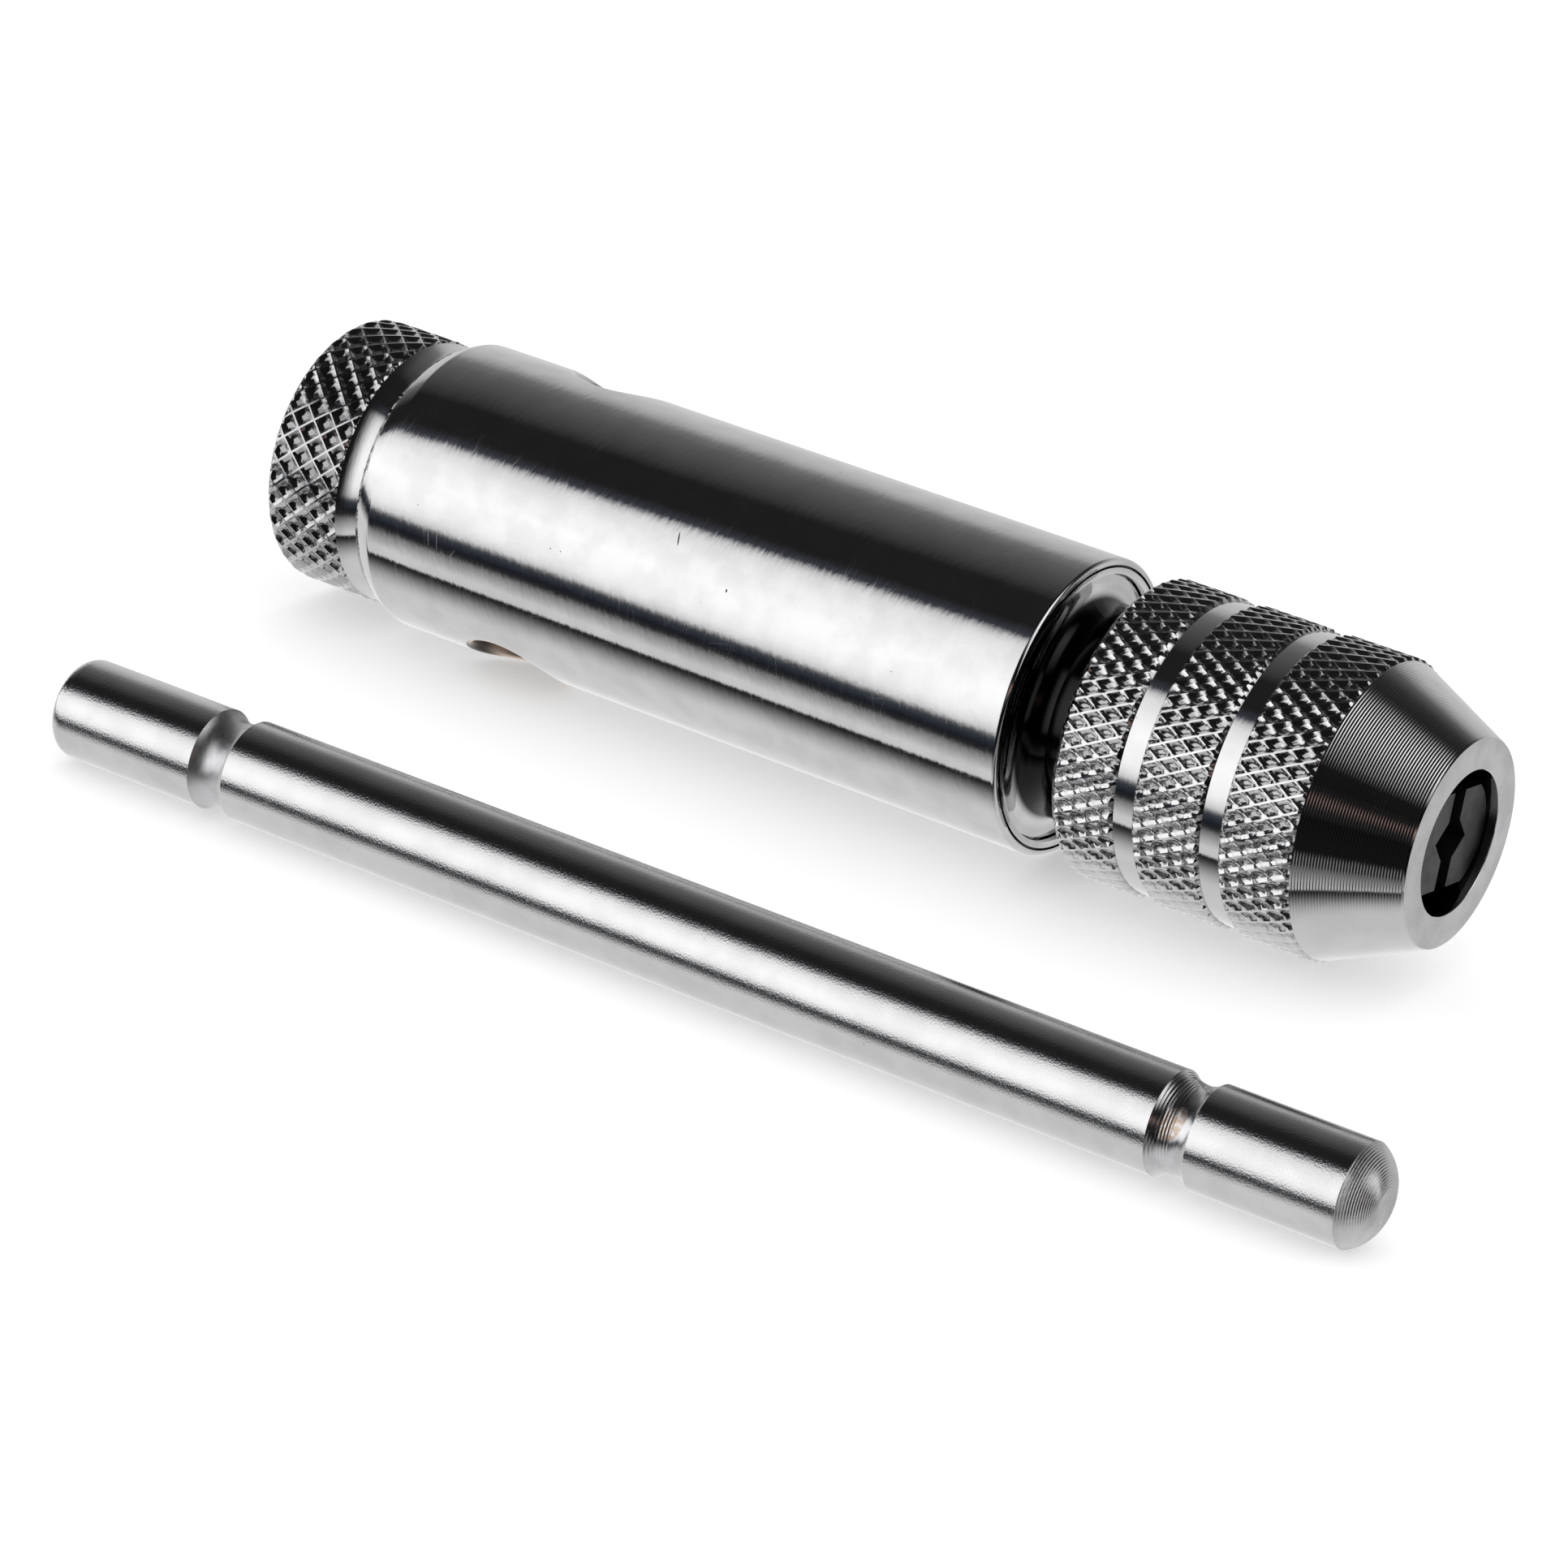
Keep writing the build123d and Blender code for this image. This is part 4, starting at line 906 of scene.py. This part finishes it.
def knurl_finish(name, colour, rough, radius, profile):
    """Chrome with painted shade, darker towards the bottom of a knurl's hollows."""
    depth = profile[-1][1]

    def low_in_knurl(tree):
        """1 at the bottom of the hollows, and 0 from half their depth up."""
        reach = length_of(tree, laid_out(tree, object_place(tree), Scale=(0, 1, 1)))
        return map_range(tree, reach, (radius - 0.5 * depth) * MM, (radius - depth) * MM)

    return tinted(metal(name, colour, rough, 0.04, (3600, 3600, 3600), 0.016, 0.05),
                  low_in_knurl, [HOLLOW_SHADE * v for v in colour], rough + 0.05)


def knurled_band(name, radius, seat, start, end, starts, slant, lines, profile, crossing, limit,
                 cuts, finish):
    """A closed knurled ring from start to end, with one crossing of lines at (x, angle).

    limit(x) is the highest radius that the ends allow, and cuts are the places where it bends.
    """
    pitch = 2 * math.pi * radius / starts
    row_step = pitch / math.tan(slant) / 2
    cross_x, cross_angle = crossing
    first = math.floor((start - cross_x) / row_step) - 1
    rows = math.ceil((end - cross_x) / row_step) + 2 - first
    tile = knurl_tile(name + "_tile", pitch, slant, *lines, profile)
    sheet = bpy.data.objects.new(name + "_sheet", bpy.data.meshes.new(name + "_sheet"))
    for helper in (tile, sheet):
        scene.collection.objects.link(helper)
    modifier = sheet.modifiers.new("knurl", "NODES")
    modifier.node_group = LATTICE
    values = {"Tile": tile, "Starts": starts, "Rows": rows, "First Row": first, "Pitch": pitch,
              "Row Step": row_step, "Weld": TILE_WELD, "Finish": finish}
    for item in LATTICE.interface.items_tree:
        if item.in_out == "INPUT" and item.name in values:
            modifier[item.identifier] = values[item.name]
    evaluated = sheet.evaluated_get(bpy.context.evaluated_depsgraph_get())
    bm = bmesh.new()
    bm.from_mesh(bpy.data.meshes.new_from_object(evaluated))
    for helper in (sheet, tile):
        bpy.data.objects.remove(helper)
    to_crossing = (cross_x, radius * math.radians(cross_angle), 0)
    bmesh.ops.translate(bm, vec=to_crossing, verts=bm.verts)
    for x, beyond in [(start, -1), (end, 1)] + [(cut, 0) for cut in cuts]:
        bmesh.ops.bisect_plane(bm, geom=bm.verts[:] + bm.edges[:] + bm.faces[:], dist=CUT_SNAP,
                               plane_co=(x, 0, 0), plane_no=(beyond or 1, 0, 0),
                               clear_outer=beyond != 0)
    for vert in bm.verts:
        x, around, height = vert.co
        x = min(max(x, start), end)
        vert.co = place_round(x, min(radius + height, limit(x)), around / radius)
    bmesh.ops.remove_doubles(bm, verts=bm.verts, dist=SEAM_WELD)
    rims = []
    for x in (start, end):
        rim = [e for e in bm.edges
               if e.is_boundary and all(abs(v.co.x - x) < RIM_SNAP for v in e.verts)]
        grown = bmesh.ops.extrude_edge_only(bm, edges=rim)["geom"]
        for vert in (g for g in grown if isinstance(g, bmesh.types.BMVert)):
            vert.co = Vector((vert.co.x, *(Vector(vert.co.yz).normalized() * seat)))
        rims += [g for g in grown if isinstance(g, bmesh.types.BMEdge)]
    bmesh.ops.bridge_loops(bm, edges=rims)
    print(name, "open edges:", sum(e.is_boundary for e in bm.edges))
    return finish_mesh(name, bm, [finish], KNURL_CRISP)


# %% [markdown]
# ## Chuck sleeve
# The sleeve is a turned body with three knurled bands, two smooth bands and a cone whose turning
# marks catch the light one by one. Those marks are real small steps in the outline. The knurled
# bands are rings of their own that sit in seats on the body.

# %% Turned body
SLEEVE_RADIUS, SEAT_RADIUS, SMOOTH_RADIUS, SLEEVE_STEPS = 11.5, 10.9, 11.2, 192
SLEEVE_BANDS = [(51.0, 56.3), (57.9, 63.5), (65.1, 70.95)]
NOSE, NOSE_FACE_RADIUS, NOSE_HOLE_RADIUS, CONE_TOP = 78.3, 7.94, 5.5, 11.3
CONE_PITCH, CONE_FLANK, CONE_LEAN = 0.215, 0.33, math.radians(6)
# From the nose back: nose hole, cone for the jaws, thread, room for the stop ring, rear bore
SLEEVE_INSIDE = [(77.1, NOSE_HOLE_RADIUS), (70.09, 8.8), (64.0, 8.8), (64.0, 8.23), (55.0, 8.23),
                 (55.0, 9.3), (53.5, 9.3), (53.5, 10.0), (52.4, 10.0), (52.4, 9.3), (51.3, 9.3)]
sleeve_outline = [(51.0, 9.3), (51.0, SEAT_RADIUS)]
for (_, here), (there, _) in zip(SLEEVE_BANDS, SLEEVE_BANDS[1:]):
    sleeve_outline += [(here, SEAT_RADIUS), (here, SMOOTH_RADIUS),
                       (there, SMOOTH_RADIUS), (there, SEAT_RADIUS)]
cone_start = SLEEVE_BANDS[-1][1]
sleeve_outline += [(cone_start, SEAT_RADIUS)]
sleeve_outline += turned_steps((cone_start, CONE_TOP), (NOSE - 0.12, NOSE_FACE_RADIUS + 0.05),
                               CONE_PITCH, CONE_FLANK, CONE_LEAN)
sleeve_outline += eased([(NOSE, NOSE_FACE_RADIUS - 0.02), (NOSE, NOSE_HOLE_RADIUS)]
                        + SLEEVE_INSIDE, radius=0.1)
bm = bmesh.new()
for face in sweep(bm, sleeve_outline, SLEEVE_STEPS, closed=True):
    if min(v.co.x for v in face.verts) > NOSE - 0.02:
        face.material_index = 1
sleeve = finish_mesh("sleeve_body", bm, [chrome, satin_face], crisp=math.radians(15))
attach(sleeve, "sleeve")
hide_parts("chuck_sleeve")

# %% Three knurled bands
SLEEVE_STARTS, SLEEVE_SLANT = 56, math.radians(28.8)
SLEEVE_LINES = (0.165, 0.10, 0.10)
SLEEVE_HOLLOW = [(0.0, 0.0), (0.26, 0.25), (0.36, 0.30)]
SLEEVE_CROSSINGS = [(51.07, 18.09), (60.34, 11.66), (67.39, 24.38)]
BAND_EDGES = [(0.5, 0.3), (0.3, 0.3), (0.3, 0.2)]
sleeve_knurl_chrome = knurl_finish("sleeve_knurl_chrome", CHROME, 0.04, SLEEVE_RADIUS,
                                   SLEEVE_HOLLOW)
for number, ((start, end), crossing, (rear_cut, front_cut)) in enumerate(
        zip(SLEEVE_BANDS, SLEEVE_CROSSINGS, BAND_EDGES), 1):
    def bevelled(x, start=start, end=end, rear_cut=rear_cut, front_cut=front_cut):
        """The radius that the bevels at both ends leave."""
        return SLEEVE_RADIUS - max(0, rear_cut - (x - start), front_cut - (end - x))

    band = knurled_band("sleeve_knurl_%d" % number, SLEEVE_RADIUS, SEAT_RADIUS, start, end,
                        SLEEVE_STARTS, SLEEVE_SLANT, SLEEVE_LINES, SLEEVE_HOLLOW, crossing,
                        bevelled, [start + rear_cut, end - front_cut], sleeve_knurl_chrome)
    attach(band, "sleeve")
    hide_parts("chuck_sleeve")

# %% [markdown]
# ## Reversing knob
# The knob is a disc with a coarser, squarer knurl, a rounded rear edge and a smooth land towards
# the barrel, which ends in a thin skirt over the gap. It is made the same way: a turned body with
# a seat, and a knurled ring on it.

# %% Knob body and knurl
KNOB_REAR, KNURL_FRONT, KNOB_FRONT, SKIRT_FRONT = -21.85, -15.0, -13.55, -13.2
KNOB_RADIUS, LAND_RADIUS, KNOB_EDGE, KNOB_SEAT, KNOB_STEPS = 10.65, 10.5, 0.8, 9.85, 144
SCREW_ROOM_RADIUS, SCREW_SEAT, FORK_HOLE_RADIUS = 4.65, -19.25, 2.55
LAND_STEP, SKIRT_RADIUS, SKIRT_INSIDE = 0.15, 10.02, 9.6
land = [(KNURL_FRONT + u, LAND_RADIUS - 0.4 * u + 0.09 * u * u)
        for u in (0.17 * i for i in range(11))]
knob_outline = ([(KNOB_REAR + 0.3, SCREW_ROOM_RADIUS), (KNOB_REAR, SCREW_ROOM_RADIUS)]
                + scallops((KNOB_REAR, SCREW_ROOM_RADIUS + 0.1), (KNOB_REAR, KNOB_SEAT),
                           pitch=0.3, depth=0.008)
                + [(KNURL_FRONT, KNOB_SEAT)] + land
                + [(SKIRT_FRONT - 0.03, SKIRT_RADIUS + 0.05), (SKIRT_FRONT, SKIRT_RADIUS),
                   (SKIRT_FRONT, SKIRT_INSIDE), (KNOB_FRONT, SKIRT_INSIDE),
                   (KNOB_FRONT, FORK_HOLE_RADIUS), (SCREW_SEAT, FORK_HOLE_RADIUS)])
bm = bmesh.new()
sweep(bm, knob_outline, KNOB_STEPS, closed=True)
knob = finish_mesh("knob_body", bm, [chrome])
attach(knob, "selector")
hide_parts("selector_knob")


def knob_limit(x):
    """The radius that the knob's round rear edge and the small step to its land leave."""
    rear = max(0.0, KNOB_EDGE - (x - KNOB_REAR))
    rounded = KNOB_EDGE - math.sqrt(max(0.0, KNOB_EDGE ** 2 - rear ** 2))
    return KNOB_RADIUS - max(rounded, LAND_STEP - (KNURL_FRONT - x))


KNOB_STARTS, KNOB_SLANT = 34, math.radians(43)
KNOB_LINES = (0.16, 0.12, 0.03)
KNOB_HOLLOW = [(0.0, 0.0), (0.26, 0.23), (0.42, 0.33)]
KNOB_CROSSING = (-17.7, 34.39)
knob_cuts = [KNOB_REAR + s for s in (0.1, 0.25, 0.45, KNOB_EDGE)] + [KNURL_FRONT - LAND_STEP]
knob_knurl_chrome = knurl_finish("knob_knurl_chrome", (0.45, 0.45, 0.455), 0.06, KNOB_RADIUS,
                                 KNOB_HOLLOW)
knob_ring = knurled_band("knob_knurl", KNOB_RADIUS, KNOB_SEAT, KNOB_REAR, KNURL_FRONT,
                         KNOB_STARTS, KNOB_SLANT, KNOB_LINES, KNOB_HOLLOW, KNOB_CROSSING,
                         knob_limit, knob_cuts, knob_knurl_chrome)
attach(knob_ring, "selector")
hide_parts("selector_knob")
